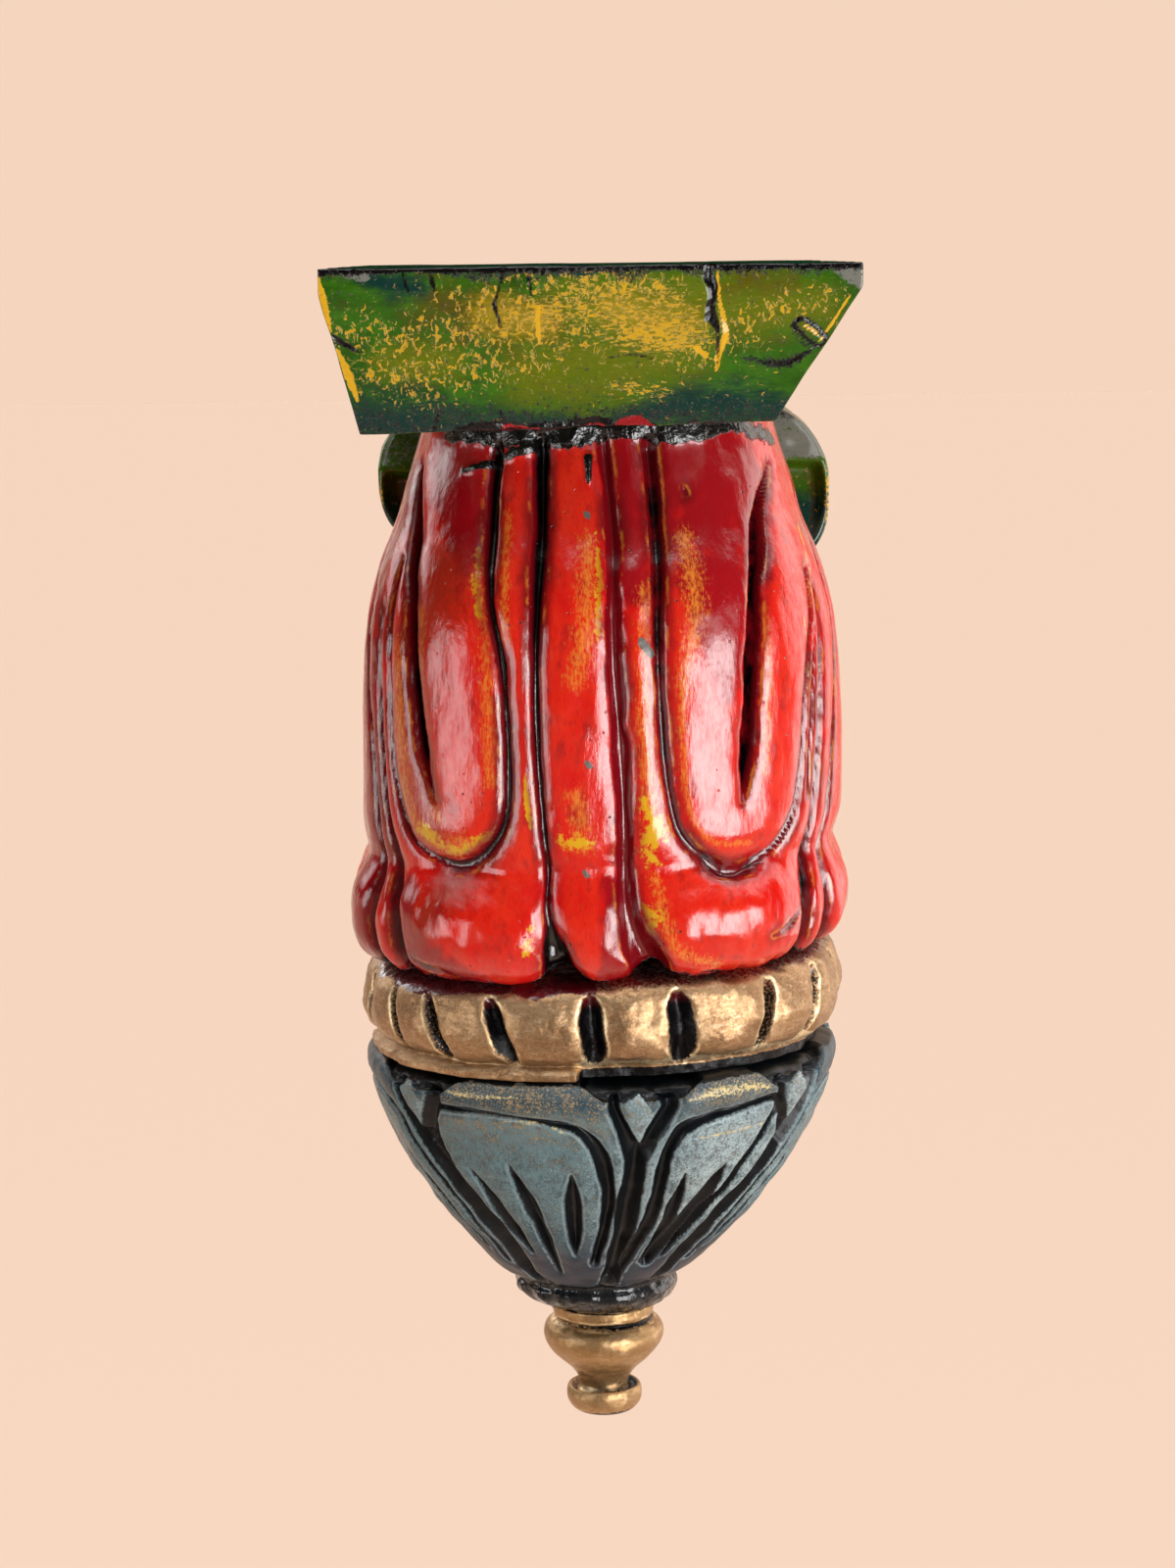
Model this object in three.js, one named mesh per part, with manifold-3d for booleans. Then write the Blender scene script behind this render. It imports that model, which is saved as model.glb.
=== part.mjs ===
// A carved and painted wooden wall bracket: a bevelled shelf on an arm with scrolled sides, and
// under its front end a hanging flower bud, a ring of knobs, a lotus cup and a turned finial.
// Millimetres. X to the right, Y into the wall, Z up. The origin is the centre of the flat back.
// Heights are given as drops, measured down from the top of the shelf.
import * as THREE from 'three';
import { mergeVertices } from 'three/addons/utils/BufferGeometryUtils.js';
import Module from 'manifold-3d';

const wasm = await Module();
wasm.setup();

// Driving dimensions
const HEIGHT = 305;
const MOUNT_DROP = 47;
const AXIS_Y = -112;
const GAP = 0.3;
const RAD = Math.PI / 180;

const SHELF = {
  left: -64, right: 63, front: -192, edge: 6,
  underLeft: -55.5, underRight: 43, underFront: -183,
  thickLeft: 39.2, thickRight: 37,
};

const ARM = { front: -82, webLeft: -33, webRight: 36, webDrop: 96, shoulder: 7 };
const ARCH = { footEnd: -8, drop: 82, reach: 44, bend: 14, overcut: 4 };
const SCROLLS = [
  { side: 1, x: 43.5, drop: 61, halfWidth: 20.5, halfHeight: 23, power: 2.3, lip: 52.5 },
  { side: -1, x: -38.5, drop: 56.5, halfWidth: 18.8, halfHeight: 17.5, power: 2.6, lip: 54 },
];
const SCROLL_STEPS = 14;
const CURVE_STEPS = 6;
const SCROLL_FACET = { depth: 9, rise: 4, overcut: 3 };
const SCROLL_HOLLOW = { depth: 7, slope: 3, height: 24, rim: 4 };
const BELTS = { places: [-30, -50], depth: 2, halfWidth: 2.4, spread: 62, overcut: 2 };

// Turned outlines before carving, as drop and half-width pairs
const BUD_TOP = 38.2 + GAP;
const BUD_OUTLINE = [
  [BUD_TOP, 44.6], [62, 52], [76, 57.4], [92, 61], [116, 62.6], [138, 62.6], [147, 60.6], [155, 62],
  [163, 62.2], [170, 59.4], [174.6, 55],
];
const RING_OUTLINE = [[175, 55], [178.4, 60.6], [187, 63.2], [195.2, 59.6], [196.2, 56.6], [199.6, 56.6]];
const CUP_OUTLINE = [
  [200, 57.5], [202.6, 61.6], [211, 60.6], [222, 56.2], [234, 49.8], [246, 41.8], [256, 33.4],
  [264.2, 24.6], [265.6, 21.6], [267.4, 22.3], [272, 20.6], [276.2, 15],
];
const FINIAL_OUTLINE = [
  [0, 276.6], [13.5, 276.6], [13.5, 278], [12.8, 278.8], [15, 280], [16.35, 282.8], [15.8, 285.8],
  [12.6, 289.4], [8.8, 292.9], [7.3, 296.6], [9.6, 298.2], [10.4, 300.4], [9.4, 303.4], [6, HEIGHT],
  [0, HEIGHT],
];

// How square each part is: 2 is a circle, and a higher power has flatter sides
const BUD_POWER = 2.5;
const RING_POWER = 2.4;
const CUP_POWER = 2.3;
const BUD_COLUMNS = 40;
const CUP_COLUMNS = 24;
const FINIAL_COLUMNS = 20;

// Hand carving: the axis sways sideways, and the seats between the parts tilt, both by drop
const SWAY = [
  [38, 0.9], [125, 1.4], [160, 0.2], [190, 0.7], [215, 0], [245, -0.9], [267, -2], [277, 0], [HEIGHT, 0],
];
const SEAT_TILT = [[38, 0.022], [90, 0.008], [150, 0.02], [176, 0.036], [199.6, 0.012], [225, 0]];

// Grooves of the bud, as drop, angle and width. Angle 0 faces the front and 90 faces right.
const PETAL_LEFT = [
  [44, -31, 4], [60, -29.6, 3.6], [79, -27, 3.2], [96, -23, 3], [120, -21.5, 2.8], [134, -22.6, 3],
  [142, -27.5, 3], [146.2, -34, 2.6], [143.4, -41, 2.2], [137, -48, 2], [125, -52.5, 1.6], [104, -55, 1.4],
  [72, -58, 1],
];
const PETAL_RIGHT = [
  [44, 15.6, 4], [64, 15.1, 3.8], [90, 13.1, 3.8], [112, 13.4, 3.8], [128, 14.8, 3.6], [139, 17.8, 3.4],
  [145.4, 23.6, 3], [148.4, 29.5, 2.8], [146.6, 38, 2.6], [141, 44, 2.2], [127, 48.2, 1.8],
  [104, 51.3, 1.6], [76, 60, 1.2],
];
const SLIT_LEFT = [
  [50, -63, 0.6], [61, -56, 2.4], [79, -47.6, 2.6], [102, -43.3, 3.4], [117, -41.2, 3.4], [129, -38, 0.5],
];
const SLIT_RIGHT = [
  [50, 58.6, 0.6], [61, 47, 3.6], [79, 38.6, 4.6], [100, 34.8, 4.6], [118, 32.9, 4.4], [131, 31.7, 0.6],
];
const RIB_LEFT = [
  [42, -17.2, 4.2], [64, -15.7, 4], [92, -15.3, 3], [120, -14.7, 3], [150, -12.2, 2.4], [164, -10.6, 4],
  [176, -9.5, 9],
];
const RIB_RIGHT = [
  [42, 1.5, 3], [64, 3.3, 3.4], [92, 2.7, 4], [120, 4.1, 4.6], [150, 5.6, 4.6], [163, 7.8, 6],
  [175, 12, 10],
];
const SIDE_LEFT = [
  [84, -62, 1], [104, -60.3, 2.2], [128, -57.5, 2.6], [143, -54, 3], [158, -50.8, 4], [175, -49.4, 6],
];
const SIDE_RIGHT = [
  [80, 62, 1], [104, 58.5, 2.2], [128, 55, 2.6], [143, 53.5, 3], [158, 51.5, 4], [175, 50, 6],
];
const FLANK = [[62, 77, 2], [92, 72, 3], [120, 65, 3], [148, 61, 3.4], [162, 61, 4.4], [176, 61, 7]];
const SIDE_RIB = [[62, 82, 3], [100, 83.5, 3.4], [140, 83, 3.2], [160, 82, 4.4], [176, 80, 8]];
// A groove's depth as a share of its width, its greatest depth, how finely its path is followed,
// how far its cutter may stray from the path, and how far the cutter stands above the surface
const GROOVE = { depth: 0.85, deepest: 4, steps: 90, trueness: 0.9, lift: 2 };

// Lobes under the bud, from groove to groove, as start angle, end angle and how far each swells
const LOBES = [
  [-50, -11, 3], [-9, 7, 1], [11, 50, 3.2], [52, 60, 1], [62, 80, 2.4], [84, 96, 1.4], [100, 118, 2.4],
];
const LOBE_TOP = 147;
const LOBE_BOTTOM = 178;

// The ring's knobs: the cuts that show in front, and the others spaced evenly behind
const FRONT_CUTS = [-54, -40.5, -24, -2.5, 18, 39.5, 56];
const HIDDEN_CUTS = 13;
const KNOB_COLUMNS = [[0, -3.4], [0.09, 0], [0.5, 0.7], [0.91, 0]];
const LEDGE = { from: -86, to: -6, reach: 4.2, drop: 196 };

// The cup's petals: the angle of each gap between two of them, at its top and at its foot
const PETAL_GAPS = [[-49, -37], [9, 8], [52, 39], [101, 88], [152, 145], [204, 205], [256, 264]];
const GAP_DROPS = [214, 256];
const GAP_LINE = [[201, 8], [206, 6.5], [218, 6], [232, 5], [248, 3.6], [262, 2.6]];
// The line inside a petal's edge, as drop, how many degrees inside the gap, and width
const PETAL_LINE = [[257, 9.5, 2.6], [236, 7, 2.6], [220, 8, 2.6], [214, 10, 2.6], [209, 16, 2.1]];
const PETAL_CREST = { drop: 208, width: 1.6 };
const VEINS = [
  { share: 0.3, top: 227, foot: 250 },
  { share: 0.5, top: 224, foot: 252 },
  { share: 0.7, top: 227, foot: 250 },
];
const VEIN_WIDTH = 2.8;
const CUP_ROUNDS = [225, 262];

const PAINT = {
  green: { color: 0x3f6a1c, roughness: 0.4, metalness: 0 },
  red: { color: 0xc42a1c, roughness: 0.25, metalness: 0 },
  gold: { color: 0x9a7748, roughness: 0.45, metalness: 0.7 },
  blue: { color: 0x7396a0, roughness: 0.55, metalness: 0 },
};

// Reads a value from a list of [place, value] pairs, straight between neighbours
function along(pairs, place) {
  const last = pairs.length - 1;
  for (let i = 0; i < last; i += 1) {
    const [from, to] = [pairs[i], pairs[i + 1]];
    if (place <= to[0]) {
      const share = THREE.MathUtils.clamp((place - from[0]) / (to[0] - from[0]), 0, 1);
      return THREE.MathUtils.lerp(from[1], to[1], share);
    }
  }
  return pairs[last][1];
}

// Half-width 1 in front and at the sides, a little more at the corners
function squareness(angle, power) {
  const s = Math.abs(Math.sin(angle * RAD)) ** power;
  const c = Math.abs(Math.cos(angle * RAD)) ** power;
  return (s + c) ** (-1 / power);
}

// A point at a drop, an angle and a distance from the hanging parts' axis
function place(drop, angle, radius) {
  const x = radius * Math.sin(angle * RAD);
  const y = -radius * Math.cos(angle * RAD);
  const z = MOUNT_DROP - drop + along(SEAT_TILT, drop) * x;
  return new THREE.Vector3(x + along(SWAY, drop), AXIS_Y + y, z);
}

// A closed skin over rows of points, each row running round once, with a fan on both ends
function skin(rows) {
  const count = rows[0].length;
  const last = rows.length - 1;
  const middle = (row) => row.reduce((sum, p) => sum.add(p), new THREE.Vector3()).divideScalar(count);
  const points = [...rows.flat(), middle(rows[0]), middle(rows[last])];
  const [top, bottom] = [points.length - 2, points.length - 1];
  const faces = [];
  for (let j = 0; j < count; j += 1) {
    const next = (j + 1) % count;
    faces.push(top, j, next, bottom, last * count + next, last * count + j);
    for (let i = 0; i < last; i += 1) {
      const [a, b] = [i * count, (i + 1) * count];
      faces.push(a + j, b + j, b + next, a + j, b + next, a + next);
    }
  }
  return new THREE.BufferGeometry().setFromPoints(points).setIndex(faces);
}

function signedVolume(position, index) {
  const [a, b, c] = [new THREE.Vector3(), new THREE.Vector3(), new THREE.Vector3()];
  let sum = 0;
  for (let i = 0; i < index.count; i += 3) {
    a.fromBufferAttribute(position, index.getX(i));
    b.fromBufferAttribute(position, index.getX(i + 1));
    c.fromBufferAttribute(position, index.getX(i + 2));
    sum += a.dot(b.cross(c));
  }
  return sum / 6;
}

// A closed geometry as a solid that can be joined and cut, whichever way its faces were wound
function solid(geometry) {
  const bare = geometry.clone();
  bare.deleteAttribute('normal');
  bare.deleteAttribute('uv');
  const merged = mergeVertices(bare, 1e-4);
  const position = merged.getAttribute('position');
  const index = merged.getIndex();
  const inward = signedVolume(position, index) < 0;
  const faces = [];
  for (let i = 0; i < index.count; i += 3) {
    const [a, b, c] = [index.getX(i), index.getX(i + 1), index.getX(i + 2)];
    if (a !== b && b !== c && c !== a) faces.push(a, inward ? c : b, inward ? b : c);
  }
  return new wasm.Manifold(new wasm.Mesh({
    numProp: 3,
    vertProperties: new Float32Array(position.array),
    triVerts: new Uint32Array(faces),
  }));
}

function geometryOf(body) {
  const mesh = body.getMesh();
  const geometry = new THREE.BufferGeometry();
  geometry.setAttribute('position', new THREE.BufferAttribute(new Float32Array(mesh.vertProperties), 3));
  geometry.setIndex([...mesh.triVerts]);
  geometry.computeVertexNormals();
  return geometry;
}

// The fewest spots of a fine path that stay true to its bends and its width
function neededSpots(points, widths, from = 0, to = points.length - 1) {
  const chord = new THREE.Line3(points[from], points[to]);
  let [worst, worstAt] = [GROOVE.trueness, 0];
  for (let i = from + 1; i < to; i += 1) {
    const share = (i - from) / (to - from);
    const astray = chord.closestPointToPoint(points[i], true, new THREE.Vector3()).distanceTo(points[i]);
    const widened = Math.abs(widths[i] - THREE.MathUtils.lerp(widths[from], widths[to], share)) / 2;
    if (astray + widened > worst) [worst, worstAt] = [astray + widened, i];
  }
  if (worstAt === 0) return [from, to];
  const before = neededSpots(points, widths, from, worstAt);
  return [...before.slice(0, -1), ...neededSpots(points, widths, worstAt, to)];
}

// A V-shaped gouge along a path of [drop, angle, width] on a surface
function gouge(surface, path) {
  const curve = new THREE.CatmullRomCurve3(path.map((spot) => new THREE.Vector3(...spot)));
  const fine = curve.getPoints(GROOVE.steps);
  const finePoints = fine.map((s) => surface(s.x, s.y));
  const kept = neededSpots(finePoints, fine.map((s) => s.z));
  const spots = kept.map((i) => fine[i]);
  const points = kept.map((i) => finePoints[i]);
  const rows = spots.map((spot, i) => {
    const [before, after] = [points[Math.max(i - 1, 0)], points[Math.min(i + 1, points.length - 1)]];
    const ahead = after.clone().sub(before).normalize();
    const across = surface(spot.x, spot.y + 1).sub(surface(spot.x, spot.y - 1));
    const down = surface(spot.x + 1, spot.y).sub(surface(spot.x - 1, spot.y));
    const out = down.cross(across).normalize();
    if (out.dot(new THREE.Vector3(points[i].x, points[i].y - AXIS_Y, 0)) < 0) out.negate();
    const side = ahead.clone().cross(out).normalize();
    const depth = Math.min(spot.z * GROOVE.depth, GROOVE.deepest);
    const half = (spot.z / 2) * (1 + GROOVE.lift / depth);
    const offset = (reach, rise) => side.clone().multiplyScalar(reach).addScaledVector(out, rise);
    const corner = (reach, rise) => offset(reach, rise).add(points[i]);
    return [corner(-half, GROOVE.lift), corner(half, GROOVE.lift), corner(0, -depth)];
  });
  return solid(skin(rows));
}

// Shelf board with a short upright edge and bevels on its front and both sides
function shelfUnderside(x) {
  const share = (x - SHELF.underLeft) / (SHELF.underRight - SHELF.underLeft);
  return THREE.MathUtils.lerp(SHELF.thickLeft, SHELF.thickRight, share);
}

function makeShelf() {
  const ring = (left, right, front, leftDrop, rightDrop) => [
    new THREE.Vector3(left, front, MOUNT_DROP - leftDrop),
    new THREE.Vector3(right, front, MOUNT_DROP - rightDrop),
    new THREE.Vector3(right, 0, MOUNT_DROP - rightDrop),
    new THREE.Vector3(left, 0, MOUNT_DROP - leftDrop),
  ];
  return skin([
    ring(SHELF.left, SHELF.right, SHELF.front, 0, 0),
    ring(SHELF.left, SHELF.right, SHELF.front, SHELF.edge, SHELF.edge),
    ring(SHELF.underLeft, SHELF.underRight, SHELF.underFront, SHELF.thickLeft, SHELF.thickRight),
  ]);
}

// Bud: a rounded, squared form with lobes swelling along its lower edge. The back's lobes repeat
// the front's, and the left side's repeat the right side's.
function lobeSwell(drop, angle) {
  if (drop < LOBE_TOP) return 0;
  const lastLobeEnd = LOBES.at(-1)[1];
  const behind = angle < -90 || angle > lastLobeEnd;
  const folded = behind ? Math.sign(angle) * 180 - angle : angle;
  const seen = folded < LOBES[0][0] ? -folded : folded;
  const down = THREE.MathUtils.clamp((drop - LOBE_TOP) / (LOBE_BOTTOM - LOBE_TOP), 0, 1);
  const rise = Math.sin(Math.PI * down);
  for (const [from, to, swell] of LOBES) {
    if (seen >= from && seen <= to) return swell * rise * (1 - (2 * (seen - from) / (to - from) - 1) ** 2);
  }
  return 0;
}

function budSurface(drop, angle) {
  const turned = along(BUD_OUTLINE, drop) * squareness(angle, BUD_POWER);
  const halfTurned = THREE.MathUtils.euclideanModulo(angle + 180, 360) - 180;
  return place(drop, angle, turned + lobeSwell(drop, halfTurned));
}

function turnedRows(outline, columns, surface) {
  const angles = Array.from({ length: columns }, (_, j) => (j * 360) / columns);
  return outline.map(([drop]) => angles.map((angle) => surface(drop, angle)));
}

const mirrored = (path) => path.map(([drop, angle, width]) => [drop, -angle, width]);
const turnedBack = (path) => path.map(([drop, angle, width]) => [drop, 180 - angle, width]);

// The back repeats the petals and the middle ribs, and is plainer between them
function budGrooves() {
  const repeated = [
    PETAL_LEFT, PETAL_RIGHT, SLIT_LEFT, SLIT_RIGHT, RIB_LEFT, RIB_RIGHT, SIDE_RIB, mirrored(SIDE_RIB),
  ];
  return [...repeated, SIDE_LEFT, SIDE_RIGHT, FLANK, mirrored(FLANK), ...repeated.map(turnedBack)];
}

// Arm: a web between two scrolled rolls that run back to the wall
function rollOutline(roll, from, to) {
  return Array.from({ length: SCROLL_STEPS + 1 }, (_, i) => {
    const angle = THREE.MathUtils.lerp(from, to, i / SCROLL_STEPS) * RAD;
    const shape = (value) => Math.sign(value) * Math.abs(value) ** (2 / roll.power);
    const x = roll.x + roll.halfWidth * shape(Math.cos(angle));
    return new THREE.Vector2(x, MOUNT_DROP - roll.drop + roll.halfHeight * shape(Math.sin(angle)));
  });
}

function armSection() {
  const [right, left] = SCROLLS;
  const foot = MOUNT_DROP - ARM.webDrop;
  const rollTop = (roll) => {
    const x = roll.x - roll.side * ARM.shoulder;
    return new THREE.Vector2(x, MOUNT_DROP - shelfUnderside(x) - GAP);
  };
  return new THREE.Shape([
    rollTop(left), rollTop(right), ...rollOutline(right, 90, -100),
    new THREE.Vector2(ARM.webRight, foot), new THREE.Vector2(ARM.webLeft, foot),
    ...rollOutline(left, 280, 90),
  ]);
}

// What is cut from under the web, in side view: it stands down at the wall and arches up to the bud
function webArch() {
  const arch = MOUNT_DROP - ARCH.drop;
  const foot = MOUNT_DROP - ARM.webDrop - ARCH.overcut;
  const far = ARM.front - ARCH.overcut;
  const shape = new THREE.Shape();
  shape.moveTo(ARCH.footEnd, foot);
  const [footBend, archBend] = [ARCH.footEnd - ARCH.bend, ARCH.bend - ARCH.reach];
  shape.bezierCurveTo(footBend, foot + ARCH.bend / 2, archBend, arch, -ARCH.reach, arch);
  shape.lineTo(far, arch);
  shape.lineTo(far, foot - ARCH.overcut);
  shape.lineTo(ARCH.footEnd, foot - ARCH.overcut);
  return shape;
}

function extrude(shape, depth) {
  return new THREE.ExtrudeGeometry(shape, { depth, bevelEnabled: false, curveSegments: CURVE_STEPS });
}

// Extrudes a shape drawn in the XZ plane from one Y to another
function extrudeY(shape, from, to) {
  return extrude(shape, to - from).rotateX(Math.PI / 2).translate(0, to, 0);
}

// Extrudes a shape drawn in the YZ plane from one X to another
function extrudeX(shape, from, to) {
  return extrude(shape, to - from).rotateX(Math.PI / 2).rotateZ(Math.PI / 2).translate(from, 0, 0);
}

// A triangular prism between two X places, with its corners given as Y and drop
function wedge(corners, from, to) {
  const outline = corners.map(([y, drop]) => new THREE.Vector2(y, MOUNT_DROP - drop));
  return solid(extrudeX(new THREE.Shape(outline), Math.min(from, to), Math.max(from, to)));
}

// The front end of a roll: a sloping top facet, and a hollow below the lip inside a raised rim
function carveScroll(body, roll) {
  const near = ARM.front - SCROLL_FACET.overcut;
  const outer = roll.x + roll.side * (roll.halfWidth + SCROLL_FACET.overcut);
  const rim = roll.x + roll.side * (roll.halfWidth - SCROLL_HOLLOW.rim);
  const top = roll.drop - roll.halfHeight - SCROLL_FACET.rise;
  const facet = [[near, roll.lip - SCROLL_FACET.rise], [ARM.front + SCROLL_FACET.depth, top], [near, top]];
  const hollow = [
    [near, roll.lip], [ARM.front + SCROLL_HOLLOW.depth, roll.lip + SCROLL_HOLLOW.slope],
    [near, roll.lip + SCROLL_HOLLOW.height],
  ];
  return body.subtract(wedge(facet, roll.x, outer)).subtract(wedge(hollow, roll.x, rim));
}

// A shallow belt groove round the outside of a roll
function belt(roll, y) {
  const { halfWidth, halfHeight } = roll;
  const resized = (more) => ({ ...roll, halfWidth: halfWidth + more, halfHeight: halfHeight + more });
  const centre = roll.side > 0 ? 0 : 180;
  const [from, to] = [centre + roll.side * BELTS.spread, centre - roll.side * BELTS.spread];
  const outside = rollOutline(resized(BELTS.overcut), from, to);
  const inside = rollOutline(resized(-BELTS.depth), from, to);
  const rows = outside.map((out, i) => [
    new THREE.Vector3(out.x, y - BELTS.halfWidth, out.y),
    new THREE.Vector3(out.x, y + BELTS.halfWidth, out.y),
    new THREE.Vector3(inside[i].x, y, inside[i].y),
  ]);
  return solid(skin(rows));
}

function makeCarvedBody() {
  const arch = solid(extrudeX(webArch(), SHELF.left, SHELF.right));
  const plain = solid(extrudeY(armSection(), ARM.front, 0)).subtract(arch);
  const arm = SCROLLS.reduce(
    (body, roll) => BELTS.places.reduce((rest, y) => rest.subtract(belt(roll, y)), carveScroll(body, roll)),
    plain,
  );
  const bud = budGrooves().reduce(
    (body, path) => body.subtract(gouge(budSurface, path)),
    solid(skin(turnedRows(BUD_OUTLINE, BUD_COLUMNS, budSurface))),
  );
  return geometryOf(bud.add(arm));
}

// Ring: a row of knobs parted by black cuts, with a thin ledge under its left front
function makeBeadRing() {
  const [first, last] = [FRONT_CUTS[0], FRONT_CUTS.at(-1)];
  const step = (360 - (last - first)) / (HIDDEN_CUTS + 1);
  const cuts = [...FRONT_CUTS, ...Array.from({ length: HIDDEN_CUTS }, (_, i) => last + step * (i + 1))];
  const columns = cuts.flatMap((cut, i) => {
    const next = i + 1 < cuts.length ? cuts[i + 1] : first + 360;
    return KNOB_COLUMNS.map(([share, rise]) => ({ angle: THREE.MathUtils.lerp(cut, next, share), rise }));
  });
  const rows = RING_OUTLINE.map(([drop, radius], i) => columns.map(({ angle, rise }) => {
    const below = drop > LEDGE.drop;
    const ledge = below && angle > LEDGE.from && angle < LEDGE.to ? LEDGE.reach : 0;
    const knob = below || i === 0 ? 0 : rise;
    return place(drop, angle, radius * squareness(angle, RING_POWER) + knob + ledge);
  }));
  return geometryOf(solid(skin(rows)));
}

// Cup: petals with an inner line and three veins each, and a dark collar turned under it
function cupSurface(drop, angle) {
  const round = THREE.MathUtils.smoothstep(drop, ...CUP_ROUNDS);
  const power = THREE.MathUtils.lerp(CUP_POWER, 2, round);
  return place(drop, angle, along(CUP_OUTLINE, drop) * squareness(angle, power));
}

// The angle of a gap at a drop: side gaps lean towards the front as they run down
function gapAngle([top, foot], drop) {
  return THREE.MathUtils.lerp(top, foot, THREE.MathUtils.smoothstep(drop, ...GAP_DROPS));
}

function cupGrooves() {
  return PETAL_GAPS.flatMap((gap, i) => {
    const wraps = i + 1 === PETAL_GAPS.length;
    const next = PETAL_GAPS[wraps ? 0 : i + 1].map((angle) => angle + (wraps ? 360 : 0));
    const between = (drop, share) => THREE.MathUtils.lerp(gapAngle(gap, drop), gapAngle(next, drop), share);
    const left = PETAL_LINE.map(([drop, inset, width]) => [drop, between(drop, 0) + inset, width]);
    const right = PETAL_LINE.map(([drop, inset, width]) => [drop, between(drop, 1) - inset, width]);
    const crest = [PETAL_CREST.drop, between(PETAL_CREST.drop, 0.5), PETAL_CREST.width];
    const veins = VEINS.map(({ share, top, foot }) => {
      const spots = [[top, 0.5], [(top + foot) / 2, VEIN_WIDTH], [foot, 1]];
      return spots.map(([drop, width]) => [drop, between(drop, share), width]);
    });
    const parting = GAP_LINE.map(([drop, width]) => [drop, between(drop, 0), width]);
    return [parting, [...left, crest, ...right.reverse()], ...veins];
  });
}

function makeLotusCup() {
  const cup = solid(skin(turnedRows(CUP_OUTLINE, CUP_COLUMNS, cupSurface)));
  return geometryOf(cupGrooves().reduce((body, path) => body.subtract(gouge(cupSurface, path)), cup));
}

// Finial: a turned knob with a small flange at its foot
function makeFinial() {
  const outline = FINIAL_OUTLINE.map(([radius, drop]) => new THREE.Vector2(radius, MOUNT_DROP - drop));
  const lathe = new THREE.LatheGeometry(outline, FINIAL_COLUMNS);
  return geometryOf(solid(lathe.rotateX(Math.PI / 2).translate(0, AXIS_Y, 0)));
}

const bracket = new THREE.Group();
const pieces = [
  ['shelf', makeShelf(), PAINT.green],
  ['carved_body', makeCarvedBody(), PAINT.red],
  ['bead_ring', makeBeadRing(), PAINT.gold],
  ['lotus_cup', makeLotusCup(), PAINT.blue],
  ['finial', makeFinial(), PAINT.gold],
];
for (const [name, geometry, paint] of pieces) {
  const mesh = new THREE.Mesh(geometry, new THREE.MeshStandardMaterial(paint));
  mesh.name = name;
  bracket.add(mesh);
}

export default bracket;
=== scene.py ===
# The looks of a carved and painted wooden wall bracket: its carved surfaces, paint, wear, camera and light.
# Lengths are millimetres, and metres once a mesh, camera or light is made. X to the right, Y into the wall,
# Z up, with the origin at the wall. Heights are drops, measured down from the top of the shelf. Angles turn
# round the hanging parts' axis: 0 faces the front and 90 faces right.
import itertools
import math

import bpy
import numpy as np
from mathutils import Matrix, Vector


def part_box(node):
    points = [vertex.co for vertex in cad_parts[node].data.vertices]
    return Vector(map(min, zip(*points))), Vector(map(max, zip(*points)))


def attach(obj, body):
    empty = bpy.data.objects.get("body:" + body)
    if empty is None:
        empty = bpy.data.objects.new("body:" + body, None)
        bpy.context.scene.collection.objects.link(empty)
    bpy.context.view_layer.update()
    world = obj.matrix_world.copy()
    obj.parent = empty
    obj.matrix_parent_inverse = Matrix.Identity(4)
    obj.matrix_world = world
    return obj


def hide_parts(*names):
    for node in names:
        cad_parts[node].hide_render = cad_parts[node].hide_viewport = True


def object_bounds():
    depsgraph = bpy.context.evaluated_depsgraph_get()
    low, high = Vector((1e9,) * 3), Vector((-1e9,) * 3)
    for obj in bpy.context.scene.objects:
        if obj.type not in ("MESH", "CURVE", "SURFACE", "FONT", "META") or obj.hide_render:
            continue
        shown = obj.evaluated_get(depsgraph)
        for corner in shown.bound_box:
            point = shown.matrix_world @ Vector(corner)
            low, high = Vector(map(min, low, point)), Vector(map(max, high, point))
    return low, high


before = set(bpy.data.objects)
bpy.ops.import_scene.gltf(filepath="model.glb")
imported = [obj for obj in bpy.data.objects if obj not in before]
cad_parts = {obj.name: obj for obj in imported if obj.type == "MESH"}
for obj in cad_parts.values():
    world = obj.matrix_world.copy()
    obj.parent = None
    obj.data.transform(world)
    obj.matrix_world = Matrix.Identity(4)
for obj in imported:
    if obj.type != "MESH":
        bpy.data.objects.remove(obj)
CAD_BOX = [list(corner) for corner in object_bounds()]
CAD_LOW, CAD_HIGH = np.array(CAD_BOX)

MM = 0.001
SHELF_LOW, SHELF_HIGH = (np.array(corner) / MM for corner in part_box("shelf"))
FINIAL_LOW, FINIAL_HIGH = (np.array(corner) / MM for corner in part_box("finial"))
MOUNT_DROP = SHELF_HIGH[2]
AXIS_Y = (FINIAL_LOW[1] + FINIAL_HIGH[1]) / 2
HEIGHT = MOUNT_DROP - FINIAL_LOW[2]
FAR = 9.0

# Hand carving: the axis sways sideways, and the seats between the parts tilt, both by drop
SWAY = [(38, 0.9), (125, 1.4), (160, 0.2), (190, 0.7), (215, 0), (245, -0.9), (267, -2), (277, 0), (305, 0)]
SEAT_TILT = [(38, 0.022), (90, 0.008), (150, 0.02), (176, 0.036), (199.6, 0.012), (225, 0), (305, 0)]

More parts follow.
